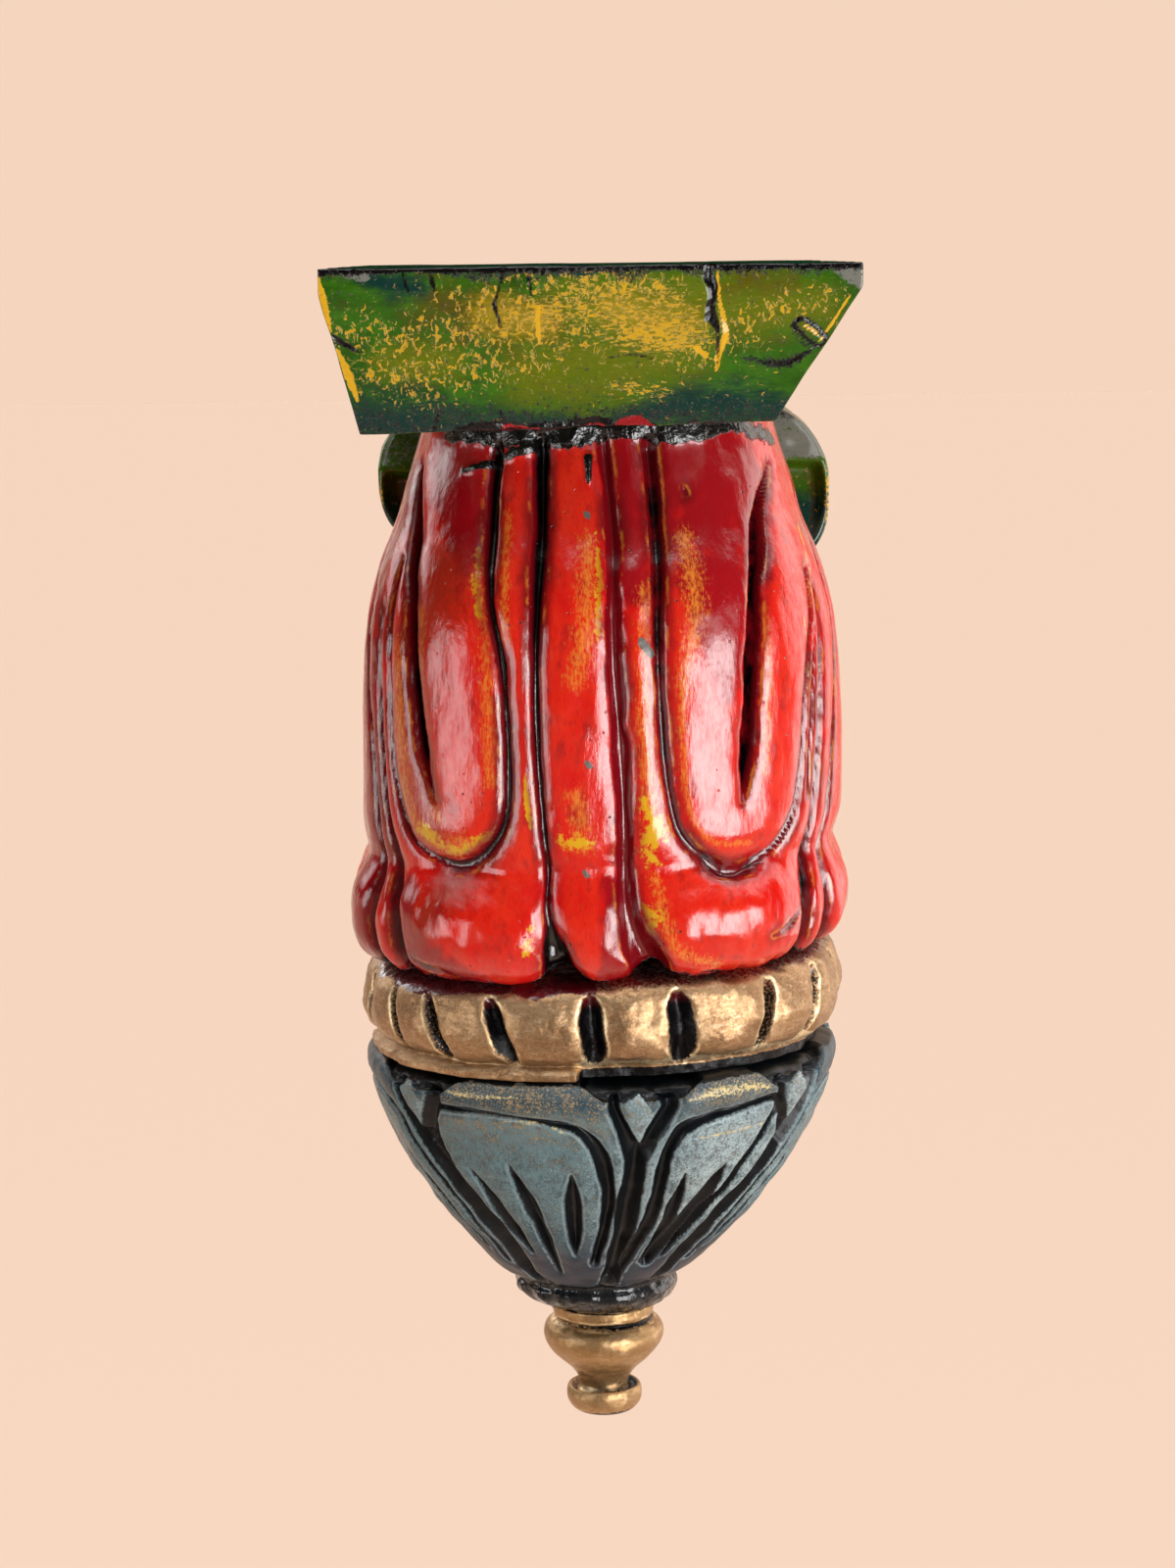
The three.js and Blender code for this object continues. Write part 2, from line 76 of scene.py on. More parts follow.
# Turned outlines before carving, as drop and half-width
BUD_OUTLINE = [
    (38.5, 44.6), (46, 46.8), (54, 49.6), (64, 52.6), (75, 57), (88, 60.4), (103, 62), (122, 62.6),
    (137, 62.4),
    (143, 61.6), (147, 60.8), (151, 61.6), (156, 62.9), (162, 63.2), (168, 62.6), (172, 61), (174.6, 58.2),
]
RING_OUTLINE = [
    (175, 56), (176, 59), (178.4, 61.3), (183, 62.5), (188, 63), (192, 62), (194.6, 60.4), (196, 58.2),
    (196.6, 56.8), (199.6, 56.4),
]
CUP_OUTLINE = [
    (200, 57.5), (201.2, 60.2), (204, 61.5), (209, 61), (215, 59.1), (222, 56.2), (229, 52.7), (236, 48.6),
    (243, 44), (249, 39.4), (255, 34.2), (260, 29.4), (263.4, 25.2), (265.2, 21.7), (266.2, 21.5),
    (267.4, 22.1),
    (269.6, 21.8), (272.2, 19.4), (274.3, 15.4),
]
BUD_POWER = 2.5
RING_POWER = 2.4
CUP_POWER = 2.3
CUP_ROUNDS = (225, 262)


# Number helpers

def smooth_step(value, low, high):
    share = np.clip((value - low) / (high - low), 0, 1)
    return share * share * (3 - 2 * share)


def smooth_path(spots, steps=12):
    """A fine curve through every spot, as rows of numbers."""
    spots = np.array(spots, float)
    padded = np.vstack([2 * spots[0] - spots[1], spots, 2 * spots[-1] - spots[-2]])
    t = np.linspace(0, 1, steps, endpoint=False)[:, None]
    spans = []
    for a, b, c, d in zip(padded, padded[1:], padded[2:], padded[3:]):
        bend = (2 * a - 5 * b + 4 * c - d) * t**2 + (3 * b - a - 3 * c + d) * t**3
        spans.append(0.5 * (2 * b + (c - a) * t + bend))
    return np.vstack(spans + [spots[-1:]])


def curve_value(spots, place):
    """The value at a place on the smooth curve through (place, value) spots."""
    fine = smooth_path(spots)
    order = np.argsort(fine[:, 0])
    return np.interp(place, fine[order, 0], fine[order, 1])


def noise(points, size, seed, octaves=1):
    """Smooth seeded noise from about -1 to 1 with blobs about size across."""
    table = np.random.default_rng(seed).uniform(-1, 1, (32, 32, 32))
    total = np.zeros(len(points))
    for octave in range(octaves):
        cell = points * (2**octave / size) + 7.3 * octave
        low = np.floor(cell).astype(int)
        part = cell - low
        part = part * part * (3 - 2 * part)
        for corner in itertools.product((0, 1), repeat=3):
            weight = np.prod(np.where(corner, part, 1 - part), axis=1)
            i, j, k = ((low + corner) % 32).T
            total += weight * table[i, j, k] / 2**octave
    return total


def half_turned(angle):
    """The same angle from -180 to 180."""
    return (angle + 180) % 360 - 180


def squareness(angle, power):
    """A rounded square's half-width at an angle, for one that is 1 in front."""
    s = np.abs(np.sin(np.radians(angle))) ** power
    c = np.abs(np.cos(np.radians(angle))) ** power
    return (s + c) ** (-1 / power)


def place(drop, angle, radius):
    """Points at drops, angles and distances from the hanging parts' axis."""
    turn = np.radians(angle)
    x = radius * np.sin(turn)
    z = MOUNT_DROP - drop + curve_value(SEAT_TILT, drop) * x
    return np.stack([x + curve_value(SWAY, drop), AXIS_Y - radius * np.cos(turn), z], -1)


def nearest_on(points, line, values):
    """Each point's distance to a line of 3-D points, and the line's value at that place."""
    best = np.full(len(points), np.inf)
    value = np.zeros(len(points))
    for a, b, low, high in zip(line, line[1:], values, values[1:]):
        along = b - a
        share = np.clip((points - a) @ along / max(along @ along, 1e-9), 0, 1)
        away = np.linalg.norm(points - a - share[:, None] * along, axis=1)
        closer = away < best
        best[closer] = away[closer]
        value[closer] = (low + share * (high - low))[closer]
    return best, value


def close_to(points, line, reach):
    """Which points lie in a line's box, grown by reach."""
    return np.all((points > line.min(0) - reach) & (points < line.max(0) + reach), axis=1)


# Mesh helpers

def tube_faces(rows, columns):
    """Faces of rows of points that each run round once, with a fan on both ends."""
    i, j = np.meshgrid(np.arange(rows - 1), np.arange(columns), indexing="ij")
    k = (j + 1) % columns
    sides = np.stack([i * columns + j, (i + 1) * columns + j, (i + 1) * columns + k, i * columns + k], -1)
    first, last = rows * columns, rows * columns + 1
    j = np.arange(columns)
    k = (j + 1) % columns
    base = (rows - 1) * columns
    top = np.stack([np.full(columns, first), j, k], -1)
    bottom = np.stack([np.full(columns, last), base + k, base + j], -1)
    return sides.reshape(-1, 4).tolist() + top.tolist() + bottom.tolist()


def with_ends(grid):
    """Rows of points or values as one list, with the first and last rows' middles after them."""
    flat = grid.reshape(-1, *grid.shape[2:])
    return np.concatenate([flat, grid[:1].mean(axis=1), grid[-1:].mean(axis=1)])


def row_normals(grid):
    """Outward normals of rows of points that run round once, down the rows."""
    down = np.gradient(grid, axis=0)
    along = np.roll(grid, -1, axis=1) - np.roll(grid, 1, axis=1)
    normal = np.cross(down, along)
    return normal / np.maximum(np.linalg.norm(normal, axis=-1, keepdims=True), 1e-9)


def add_object(name, data):
    added = bpy.data.objects.new(name, data)
    bpy.context.scene.collection.objects.link(added)
    return added


def make_piece(name, points, faces, fields, material):
    """A smooth mesh. Its points are in metres, and each field has one number for every point."""
    mesh = bpy.data.meshes.new(name)
    mesh.from_pydata(points.tolist(), [], faces)
    for field, values in fields.items():
        mesh.attributes.new(field, "FLOAT", "POINT").data.foreach_set("value", values.astype(np.float32))
    mesh.polygons.foreach_set("use_smooth", np.ones(len(mesh.polygons), bool))
    mesh.materials.append(material)
    mesh.update()
    return add_object(name, mesh)


def inside_box(points):
    """Points in metres, kept within the solids' overall size."""
    return np.clip(points * MM, CAD_LOW, CAD_HIGH)


def surface_rows(surface, drops, columns, front_share):
    """The drops, angles, points and normals of rows round a surface, with columns closer in front."""
    turn = np.arange(columns) / columns
    angles = 360 * turn - front_share * 360 / (2 * math.pi) * np.sin(2 * math.pi * turn)
    drop, angle = (a.ravel() for a in np.meshgrid(drops, angles, indexing="ij"))
    points = surface(drop, angle)
    normals = row_normals(points.reshape(len(drops), columns, 3)).reshape(-1, 3)
    return drop, half_turned(angle), points, normals


def make_rows(name, shape, points, fields, material):
    """A closed piece of rows of points that each run round once."""
    shaped = {
        field: with_ends((values * np.ones(len(points))).reshape(shape)) for field, values in fields.items()
    }
    corners = inside_box(with_ends(points.reshape(*shape, 3)))
    return make_piece(name, corners, tube_faces(*shape), shaped, material)


def finish_piece(piece, node):
    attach(piece, "root")
    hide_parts(node)


# Carving

class Carving:
    """Gouge cuts and painted marks on a surface given by drop and angle."""

    def __init__(self, surface, points, seed):
        self.surface = surface
        self.points = points
        self.seed = seed
        self.edge = np.full(len(points), FAR)
        self.cut = np.zeros(len(points))
        self.ink = np.zeros(len(points))

    def near(self, spots):
        """The points near a path of (drop, angle, width), their distance to it, and its width there."""
        path = smooth_path(spots)
        line = self.surface(path[:, 0], path[:, 1])
        near = np.flatnonzero(close_to(self.points, line, FAR))
        away, width = nearest_on(self.points[near], line, path[:, 2])
        return near, away, np.maximum(width, 0.05)

    def gouge(self, spots, ink=1.0, depth=0.85, deepest=4.0, wobble=0.24):
        near, away, width = self.near(spots)
        half = width / 2 * (1 + wobble * noise(self.points[near], 7, self.seed, 2))
        half = np.maximum(half, 0.05)
        gap = away - half
        inside = np.clip(away / half, 0, 1)
        cut = np.minimum(width * depth, deepest) * (1 - inside**1.7)
        self.cut[near] = np.maximum(self.cut[near], cut)
        closer = gap < self.edge[near]
        self.edge[near[closer]] = gap[closer]
        self.ink[near[closer]] = ink
        self.seed += 1

    def stroke(self, spots, soft=1.0):
        """A painted mark, 1 along a path and fading to 0 at its width."""
        near, away, width = self.near(spots)
        mark = np.zeros(len(self.points))
        mark[near] = np.clip(1 - away / (width / 2), 0, 1) ** soft
        return mark

    def strokes(self, paths, soft=1.0):
        return np.maximum.reduce([self.stroke(path, soft) for path in paths])

    def shoulder(self, depth, reach):
        """How far the surface rounds down beside the cuts."""
        return depth * np.exp(-np.maximum(self.edge, 0) / reach)


def mirrored(path):
    return [(drop, -angle, width) for drop, angle, width in path]


def turned_back(path):
    return [(drop, 180 - angle, width) for drop, angle, width in path]


# Materials

def paint(red, green, blue):
    """A colour given as it looks on a screen, 0 to 255, in the shader's own units."""
    def linear(level):
        level /= 255
        return level / 12.92 if level < 0.04045 else ((level + 0.055) / 1.055) ** 2.4
    return (linear(red), linear(green), linear(blue), 1.0)


class Wire:
    """A node's output. Sums, products and steps of it are new nodes."""

    def __init__(self, graph, socket):
        self.graph = graph
        self.socket = socket

    def __add__(self, other):
        return self.graph.math("ADD", self, other)

    def __mul__(self, other):
        return self.graph.math("MULTIPLY", self, other)

    def most(self, other):
        return self.graph.math("MAXIMUM", self, other)

    def step(self, low, high, first=0.0, last=1.0):
        """First below low, last above high and smooth between. Low may be above high: then it falls."""
        if low > high:
            low, high, first, last = high, low, last, first
        return self.graph.node(
            "MapRange", {"interpolation_type": "SMOOTHSTEP"}, Value=self,
            From_Min=low, From_Max=high, To_Min=first, To_Max=last,
        )

    def blend(self, first, last):
        """First where this is 0, last where it is 1, and straight between."""
        return self.graph.node("MapRange", Value=self, To_Min=first, To_Max=last)

    def patchy(self, grain, amount, soft=0.1):
        """A mark's share: this field, broken up by amount of grain and cut off where it is under a half."""
        middle = 0.5 + amount / 2
        return self.graph.math("MULTIPLY_ADD", grain, amount, self).step(middle - soft, middle + soft)

    def torn(self, grain, amount):
        """A distance made uneven by amount of grain."""
        return self.graph.math("MULTIPLY_ADD", grain, amount, self + -amount / 2)


class Graph:
    """The nodes of a material or of the world."""

    def __init__(self, tree):
        self.nodes = tree.nodes
        self.links = tree.links

    def put(self, socket, value):
        if isinstance(value, Wire):
            self.links.new(value.socket, socket)
        else:
            socket.default_value = value

    def node(self, kind, settings=None, output=0, **inputs):
        """One output of a new node, with its inputs linked or filled in."""
        node = self.nodes.new("ShaderNode" + kind)
        for name, value in (settings or {}).items():
            setattr(node, name, value)
        for label, value in inputs.items():
            self.put(node.inputs[label.replace("_", " ")], value)
        return Wire(self, node.outputs[output])

    def math(self, kind, *values):
        wire = self.node("Math", {"operation": kind})
        for socket, value in zip(wire.socket.node.inputs, values):
            self.put(socket, value)
        return wire

    def split(self, vector):
        """The three numbers of a vector."""
        wire = self.node("SeparateXYZ", Vector=vector)
        return [Wire(self, socket) for socket in wire.socket.node.outputs]

    def mix(self, under, over, share):
        node = self.nodes.new("ShaderNodeMix")
        node.data_type = "RGBA"
        colours = [socket for socket in node.inputs if socket.type == "RGBA"]
        for socket, value in zip([node.inputs["Factor"]] + colours, (share, under, over)):
            self.put(socket, value)
        return Wire(self, next(socket for socket in node.outputs if socket.type == "RGBA"))


class Look(Graph):
    """A procedural material: a ground colour that others are laid over, and its relief and shine."""

    def __init__(self, name, ground, **settings):
        self.material = bpy.data.materials.new(name)
        self.material.use_nodes = True
        super().__init__(self.material.node_tree)
        self.colour = ground
        self.place = self.node("TexCoord", output="Object")
        self.shine(**settings)

    def shine(self, **sockets):
        shader = self.nodes["Principled BSDF"]
        for label, value in sockets.items():
            self.put(shader.inputs[label.replace("_", " ")], value)

    def cover(self, colour, share):
        """Lay a colour over those before it."""
        self.colour = self.mix(self.colour, colour, share)

    def field(self, name):
        return self.node("Attribute", {"attribute_name": name}, "Fac")

    def mark(self, name, grain, amount, soft=0.1):
        return self.field(name).patchy(grain, amount, soft)

    def scaled(self, size, stretch, shift):
        """The place on the part in steps of size millimetres, longer steps where stretch is above 1."""
        scale = [1 / (size * MM * longer) for longer in stretch]
        return self.node("Mapping", Vector=self.place, Location=(shift, shift, shift), Scale=scale)

    def noise(self, size, detail=3.0, rough=0.55, stretch=(1, 1, 1), shift=0.0, warp=0.0):
        """Noise from 0 to 1 with features about size millimetres across."""
        place = self.scaled(size, stretch, shift)
        return self.node("TexNoise", Vector=place, Scale=1.0, Detail=detail, Roughness=rough, Distortion=warp)

    def dots(self, size, shift=0.0):
        """Distance to scattered points that lie about size millimetres apart, in that size."""
        return self.node("TexVoronoi", Vector=self.scaled(size, (1, 1, 1), shift), Scale=1.0)

    def bump(self, height, depth, strength=1.0, under=None):
        """Small relief: height from 0 to 1 stands for depth millimetres."""
        below = {"Normal": under} if under else {}
        return self.node("Bump", Strength=strength, Distance=depth * MM, Height=height, **below)

    def done(self, **sockets):
        self.shine(Base_Color=self.colour, **sockets)
        return self.material


BLACK = paint(6, 4, 6)
MAROON = paint(72, 5, 12)
DEEP_RED = paint(108, 6, 16)
CRIMSON = paint(140, 8, 18)
BRIGHT_RED = paint(186, 16, 12)
ORANGE_RED = paint(204, 42, 20)
RUST = paint(138, 38, 22)
YELLOW = paint(196, 148, 22)
ORANGE = paint(206, 124, 44)
GREY = paint(92, 86, 80)


def red_paint():
    look = Look("red_paint", BRIGHT_RED, Coat_IOR=1.7, Specular_IOR_Level=0.0)
    edge = look.field("edge")
    broad = look.noise(20, 3, 0.6, (1, 1, 1.5))
    blotch = look.noise(5, 4, 0.62, (1, 1, 1.6), shift=3.1)
    grain = look.noise(0.9, 5, 0.72, (1, 1, 1.5), shift=1.7)
    brush = look.noise(0.45, 4, 0.65, (1, 1, 9), shift=5.3)
    crumb = look.noise(1.5, 5, 0.7, shift=9.0)
    feather = look.noise(1.2, 4, 0.7, (1, 1, 4), shift=6.6)
    pin = look.dots(4.6, 2.0)

    look.cover(ORANGE_RED, broad.patchy(blotch, 1.4, 0.4))
    # The crimson mark is partly the paint's own tone and partly painted shade
    look.cover(CRIMSON, look.mark("crimson", blotch, 2.2, 0.4))
    look.cover(RUST, look.mark("rust", grain, 2.0, 0.5) * 0.8)
    look.cover(CRIMSON, brush.step(0.54, 0.68) * 0.45)
    look.cover(CRIMSON, blotch.step(0.52, 0.68) * 0.5)
    look.cover(ORANGE, (look.field("dry") * 0.64).patchy(brush * 0.5 + grain * 0.5, 2.8, 0.3) * 0.8)
    look.cover(YELLOW, look.mark("rub", blotch * 0.4 + crumb * 0.4 + grain * 0.2, 5.0, 0.2))

    torn = edge.torn(crumb, 1.3)
    # Painted shade: darker crimson and maroon beside the cuts, where shade falls into the grooves
    beside = torn.step(3.4, 0.3)
    look.cover(CRIMSON, beside * blotch.step(0.34, 0.5) * 0.8)
    look.cover(MAROON, beside * broad.step(0.44, 0.58) * 0.65)
    # Orange along the cuts' rims: partly edge wear and partly a painted highlight
    rim = torn.step(0.15, 0.4) * torn.step(1.3, 0.5)
    look.cover(ORANGE, rim * blotch.step(0.48, 0.64) * 0.5)
    inked = look.mark("ink", blotch, 2.0, 0.3) * edge.step(-0.4, -1.1).blend(0.3, 1.0)
    look.cover(look.mix(DEEP_RED, BLACK, inked), torn.step(0.25, -0.35))
    look.cover(BLACK, pin.step(0.075, 0.045) * broad.step(0.44, 0.52))
    look.cover(GREY, look.mark("grey", crumb, 1.0))
    soot_and_shade = look.mark("soot_and_shade", crumb * 0.6 + blotch * 0.4, 2.0)
    look.cover(BLACK, soot_and_shade)

    waves = look.bump(look.noise(5, 2, 0.5, (1, 1, 1.8), shift=8.0), 0.5, 0.6)
    peel = look.bump(look.noise(1.3, 3, 0.6, (1, 1, 2.4), shift=4.4), 0.07, 0.7, waves)
    pits = look.bump(pin.step(0.03, 0.085), 0.4, 0.8, peel)
    lumps = look.bump(look.noise(2.2, 3, 0.5, shift=6.0) * soot_and_shade.step(0.1, 0.9), 0.9, 0.8, pits)
    uneven = (feather * 0.4 + grain * 0.35 + blotch * 0.25).step(0.36, 0.56)
    return look.done(
        Roughness=0.5, Normal=look.bump(brush, 0.1, 0.6, lumps),
        Coat_Normal=look.bump(feather * 0.7 + grain * 0.3, 0.15, 0.8, lumps),
        Coat_Weight=uneven.blend(0.5, 1.0) * look.field("matte").blend(1.0, 0.0),
        Coat_Roughness=uneven.blend(0.16, 0.05),
    )


GREEN_DARK = paint(22, 58, 8)
GREEN = paint(48, 94, 12)
OLIVE = paint(86, 96, 8)
BROWN = paint(80, 68, 12)
TEAL = paint(8, 44, 38)
SCRATCH = paint(196, 150, 28)
HONEY = paint(138, 118, 18)
# Grey for patches on the shelf, and for the painted reflection on the rolls' top facets
WEAR_AND_SHEEN_GREY = paint(104, 104, 96)


def green_paint():
    look = Look("green_paint", GREEN, Coat_Roughness=0.12, Coat_IOR=1.5, Specular_IOR_Level=0.0)
    broad = look.noise(15, 4, 0.6, (1.8, 1.8, 1))
    blotch = look.noise(4, 5, 0.65, (2.0, 2.0, 1), shift=2.0)
    grain = look.noise(0.6, 4, 0.7, shift=4.0)
    brush = look.noise(0.5, 4, 0.65, (9, 9, 1), shift=5.0)
    dashes = look.noise(0.95, 5, 0.7, (2.0, 2.0, 0.8), shift=6.0, warp=0.6)
    flecks = look.noise(1.45, 4, 0.64, (0.9, 0.9, 1.3), shift=7.5, warp=0.9)
    crumb = look.noise(1.4, 5, 0.7, shift=9.0)

    look.cover(GREEN_DARK, broad.patchy(blotch, 1.5, 0.4))
    streaks = blotch * 0.55 + brush * 0.45
    look.cover(OLIVE, look.mark("olive", streaks, 1.8, 0.5))
    look.cover(BROWN, look.mark("brown", blotch, 2.0, 0.5) * 0.8)
    look.cover(GREEN_DARK, brush.step(0.55, 0.72) * 0.4)
    look.cover(TEAL, look.mark("teal", streaks, 1.8, 0.42))
    look.cover(HONEY, look.mark("wash", dashes, 1.8, 0.4) * 0.8)
    wear_and_sheen = look.mark("scratch", dashes, 2.9).most(look.mark("flecks", flecks, 2.9))
    look.cover(SCRATCH, wear_and_sheen * grain.blend(0.5, 1.1))
    strip = look.mark("strip", crumb, 1.8, 0.12)
    look.cover(SCRATCH, strip)
    look.cover(BLACK, look.field("edge").torn(crumb, 1.4).step(0.3, -0.25))
    dust = crumb * 0.55 + grain * 0.45
    # The grey mark: grey patches on the shelf, and painted reflections on the rolls' top facets
    look.cover(WEAR_AND_SHEEN_GREY, look.mark("grey", dust, 3.0, 0.2))
    soot_and_shade = look.mark("soot_and_shade", dust, 2.4, 0.2)
    look.cover(BLACK, soot_and_shade)
    look.cover(CRIMSON, look.mark("red", crumb, 2.0))

    waves = look.bump(look.noise(6, 2, 0.5, (1.8, 1.8, 1), shift=8.0), 0.5, 0.5)
    lumps = look.bump(look.noise(1.8, 3, 0.5, shift=3.0) * soot_and_shade.step(0.1, 0.9), 0.6, 0.7, waves)
    layers = look.bump(look.math("SUBTRACT", 1.0, wear_and_sheen.most(strip)), 0.12, 0.5, lumps)
    return look.done(
        Roughness=0.5, Normal=look.bump(brush, 0.1, 0.6, layers),
        Coat_Normal=layers, Coat_Weight=look.field("dusty").blend(0.8, 0.0),
    )


GOLD = paint(182, 150, 112)
GOLD_DARK = paint(130, 96, 66)
GOLD_PALE = paint(220, 200, 170)
GOLD_BRIGHT = paint(244, 222, 180)
YELLOW_GOLD = paint(176, 142, 90)


def gold_paint():
    look = Look("gold_paint", GOLD, Specular_IOR_Level=0.2, Coat_Roughness=0.1)
    broad = look.noise(8, 3, 0.6)
    grain = look.noise(0.6, 5, 0.72, shift=3.0)
    brush = look.noise(0.8, 4, 0.65, (4, 4, 1), shift=5.0)
    crumb = look.noise(1.1, 5, 0.72, shift=9.0)
    maroon = look.field("maroon")

    look.cover(GOLD_DARK, broad.patchy(grain, 1.6, 0.45))
    look.cover(YELLOW_GOLD, look.field("turned") * broad.blend(0.1, 0.6))
    look.cover(GOLD_PALE, brush.step(0.5, 0.72) * 0.3)
    # Painted highlight: the bright mark is a glint band on the ring's lower edge
    look.cover(GOLD_BRIGHT, look.mark("bright", crumb, 2.4, 0.2))
    torn = look.field("edge").torn(crumb, 1.5)
    # Painted highlight: pale gold glints along the rims of the cuts
    edge_glint = torn.step(0.25, 0.45) * torn.step(1.3, 0.6)
    look.cover(GOLD_BRIGHT, edge_glint * broad.step(0.42, 0.56) * 0.8)
    cut = torn.step(0.3, -0.2) * look.mark("ink", grain, 2.4, 0.12)
    soot_and_shade = look.mark("soot_and_shade", crumb * 0.6 + grain * 0.4, 2.4, 0.12)
    dust = look.dots(2.6, 4.0).step(0.11, 0.06) * broad.step(0.48, 0.6)
    dark = cut.most(soot_and_shade).most(dust)
    look.cover(look.mix(BLACK, MAROON, maroon), dark)

    hammer = look.bump(look.noise(5.6, 2, 0.45, shift=1.0), 1.3, 0.8)
    fine = look.bump(grain, 0.16, 0.7, hammer)
    return look.done(
        Metallic=dark.blend(0.88, 0.0), Roughness=grain.blend(0.26, 0.5) + dark * -0.12,
        Normal=look.bump(brush, 0.03, 0.3, fine), Coat_Weight=dark * maroon, Coat_Normal=hammer,
    )


BLUE = paint(88, 112, 116)
BLUE_PALE = paint(152, 168, 170)
BLUE_DEEP = paint(18, 46, 60)
OCHRE = paint(156, 132, 94)
STRAW = paint(204, 182, 124)
LILAC = paint(32, 39, 50)
INK_TEAL = paint(14, 34, 42)
INK_BLUE = paint(3, 6, 10)


def blue_paint():
    look = Look("blue_paint", BLUE, Specular_IOR_Level=0.12)
    broad = look.noise(12, 3, 0.6)
    blotch = look.noise(3.4, 5, 0.65, shift=2.0)
    grain = look.noise(0.55, 4, 0.75, shift=3.0)
    brush = look.noise(0.7, 4, 0.65, (1, 1, 7), shift=5.0)
    crumb = look.noise(1.0, 5, 0.72, shift=9.0)
    gloss = look.field("gloss")

    look.cover(BLUE_PALE, look.mark("pale", broad * 0.4 + brush * 0.6, 2.4, 0.4))
    stipple = grain * 0.5 + brush * 0.25 + blotch * 0.25
    look.cover(BLUE_DEEP, look.mark("stipple", stipple, 2.8, 0.22) * 0.9)
    look.cover(OCHRE, look.mark("ochre", grain * 0.75 + blotch * 0.25, 3.0, 0.2) * 0.8)
    look.cover(STRAW, look.mark("straw", crumb * 0.5 + grain * 0.5, 5.0, 0.35) * 0.9)
    # Painted shade: dark lilac towards the cup's foot
    look.cover(LILAC, look.mark("foot_shade", crumb * 0.5 + brush * 0.5, 1.6, 0.4))
    torn = look.field("edge").torn(crumb, 0.9)
    # Painted highlight: pale blue along the rims of the cuts
    rim = torn.step(0.15, 0.4) * torn.step(1.0, 0.5)
    look.cover(BLUE_PALE, rim * blotch.step(0.38, 0.6) * 0.7)
    look.cover(BLUE_DEEP, torn.step(2.2, 0.9) * blotch.step(0.45, 0.62) * 0.5)
    dark = torn.step(0.15, -0.2).most(look.mark("soot_and_shade", crumb, 1.3, 0.12))
    look.cover(look.mix(INK_BLUE, INK_TEAL, grain.step(0.52, 0.75)), dark)

    waves = look.bump(look.noise(3.2, 3, 0.5, shift=8.0), 0.35, 0.5)
    fine = look.bump(grain, 0.16, 0.8, look.bump(brush, 0.14, 0.6, waves))
    return look.done(
        Roughness=grain.blend(0.42, 0.62), Normal=fine,
        Coat_Normal=look.bump(look.noise(3.4, 3, 0.5, shift=4.0) * gloss, 0.5, 0.8, waves),
        Coat_Weight=(gloss * crumb.step(0.4, 0.5)).blend(0.3, 1.0),
        Coat_Roughness=gloss.blend(0.24, 0.07),
    )


# Bud: petals, ribs and lobes

PETAL_LEFT = [
    (44, -31, 3.8), (60, -29.6, 3.4), (79, -27, 2.8), (96, -23, 2.6), (120, -21.5, 2.4), (134, -22.4, 2.6),
    (142.6, -27, 2.8), (145.8, -33, 2.4), (144.6, -39.5, 2), (139, -47, 1.8), (125, -52.5, 1.4),
    (104, -55, 1.2),
    (72, -58, 1),
]
PETAL_RIGHT = [
    (44, 15.6, 4), (64, 15.1, 3.6), (90, 13.1, 3), (112, 13.4, 2.4), (128, 14.8, 2.4), (139, 17.8, 2.4),
    (145.4, 23.6, 2.6), (148.4, 29.5, 2.8), (146.6, 38, 2.6), (141, 44, 2.2), (127, 48.2, 1.6),
    (104, 51.3, 1.4),
    (76, 60, 1.2),
]
SLIT_LEFT = [
    (49, -65, 1.4), (61, -58, 4.4), (79, -49.8, 4.4), (102, -45.4, 4.2), (117, -43, 3.6), (129, -39.6, 0.5),
]
SLIT_RIGHT = [
    (50, 58.6, 0.6), (61, 47, 3.6), (79, 38.6, 4.6), (100, 34.8, 4.6), (118, 32.9, 4.4), (131, 31.7, 0.6),
]
RIB_LEFT = [
    (42, -17.2, 4.2), (64, -15.7, 4.4), (80, -15.4, 3.8), (92, -15.3, 2.8), (120, -14.7, 2.2),
    (150, -12.2, 2.2),
    (160, -11, 2.6), (167, -10.2, 5.4), (176, -9.5, 9.6),
]
RIB_RIGHT = [
    (42, 1.5, 3), (64, 3.3, 3.4), (92, 2.7, 4), (120, 4.1, 4.6), (150, 5.6, 4.6), (163, 7.8, 6),
    (175, 12, 10),
]
SIDE_LEFT = [
    (84, -62, 1), (104, -60.3, 2.2), (128, -57.5, 2.6), (143, -54, 3), (158, -50.8, 4), (175, -49.4, 6),
]
SIDE_RIGHT = [(80, 62, 1), (104, 58.5, 2.2), (128, 55, 2.6), (143, 53.5, 3), (158, 51.5, 4), (175, 50, 6)]
THIN_RIGHT = [(90, 57.5, 0.6), (104, 54.6, 1.4), (119, 51.8, 1.2), (132, 51.2, 0.5)]
FLANK = [(62, 77, 2), (92, 72, 3), (120, 65, 3), (148, 61, 3.4), (162, 61, 4.4), (176, 61, 7)]
SIDE_RIB = [(62, 82, 3), (100, 83.5, 3.4), (140, 83, 3.2), (160, 82, 4.4), (176, 80, 8)]
REPEATED = [PETAL_LEFT, PETAL_RIGHT, SLIT_LEFT, SLIT_RIGHT, RIB_LEFT, RIB_RIGHT, SIDE_RIB, mirrored(SIDE_RIB)]
LOBES = [(-50, -11, 3), (-9, 7, 1), (11, 50, 3.2), (52, 60, 1), (62, 80, 2.4), (84, 96, 1.4), (100, 118, 2.4)]
LOBE_DROPS = (147, 178)

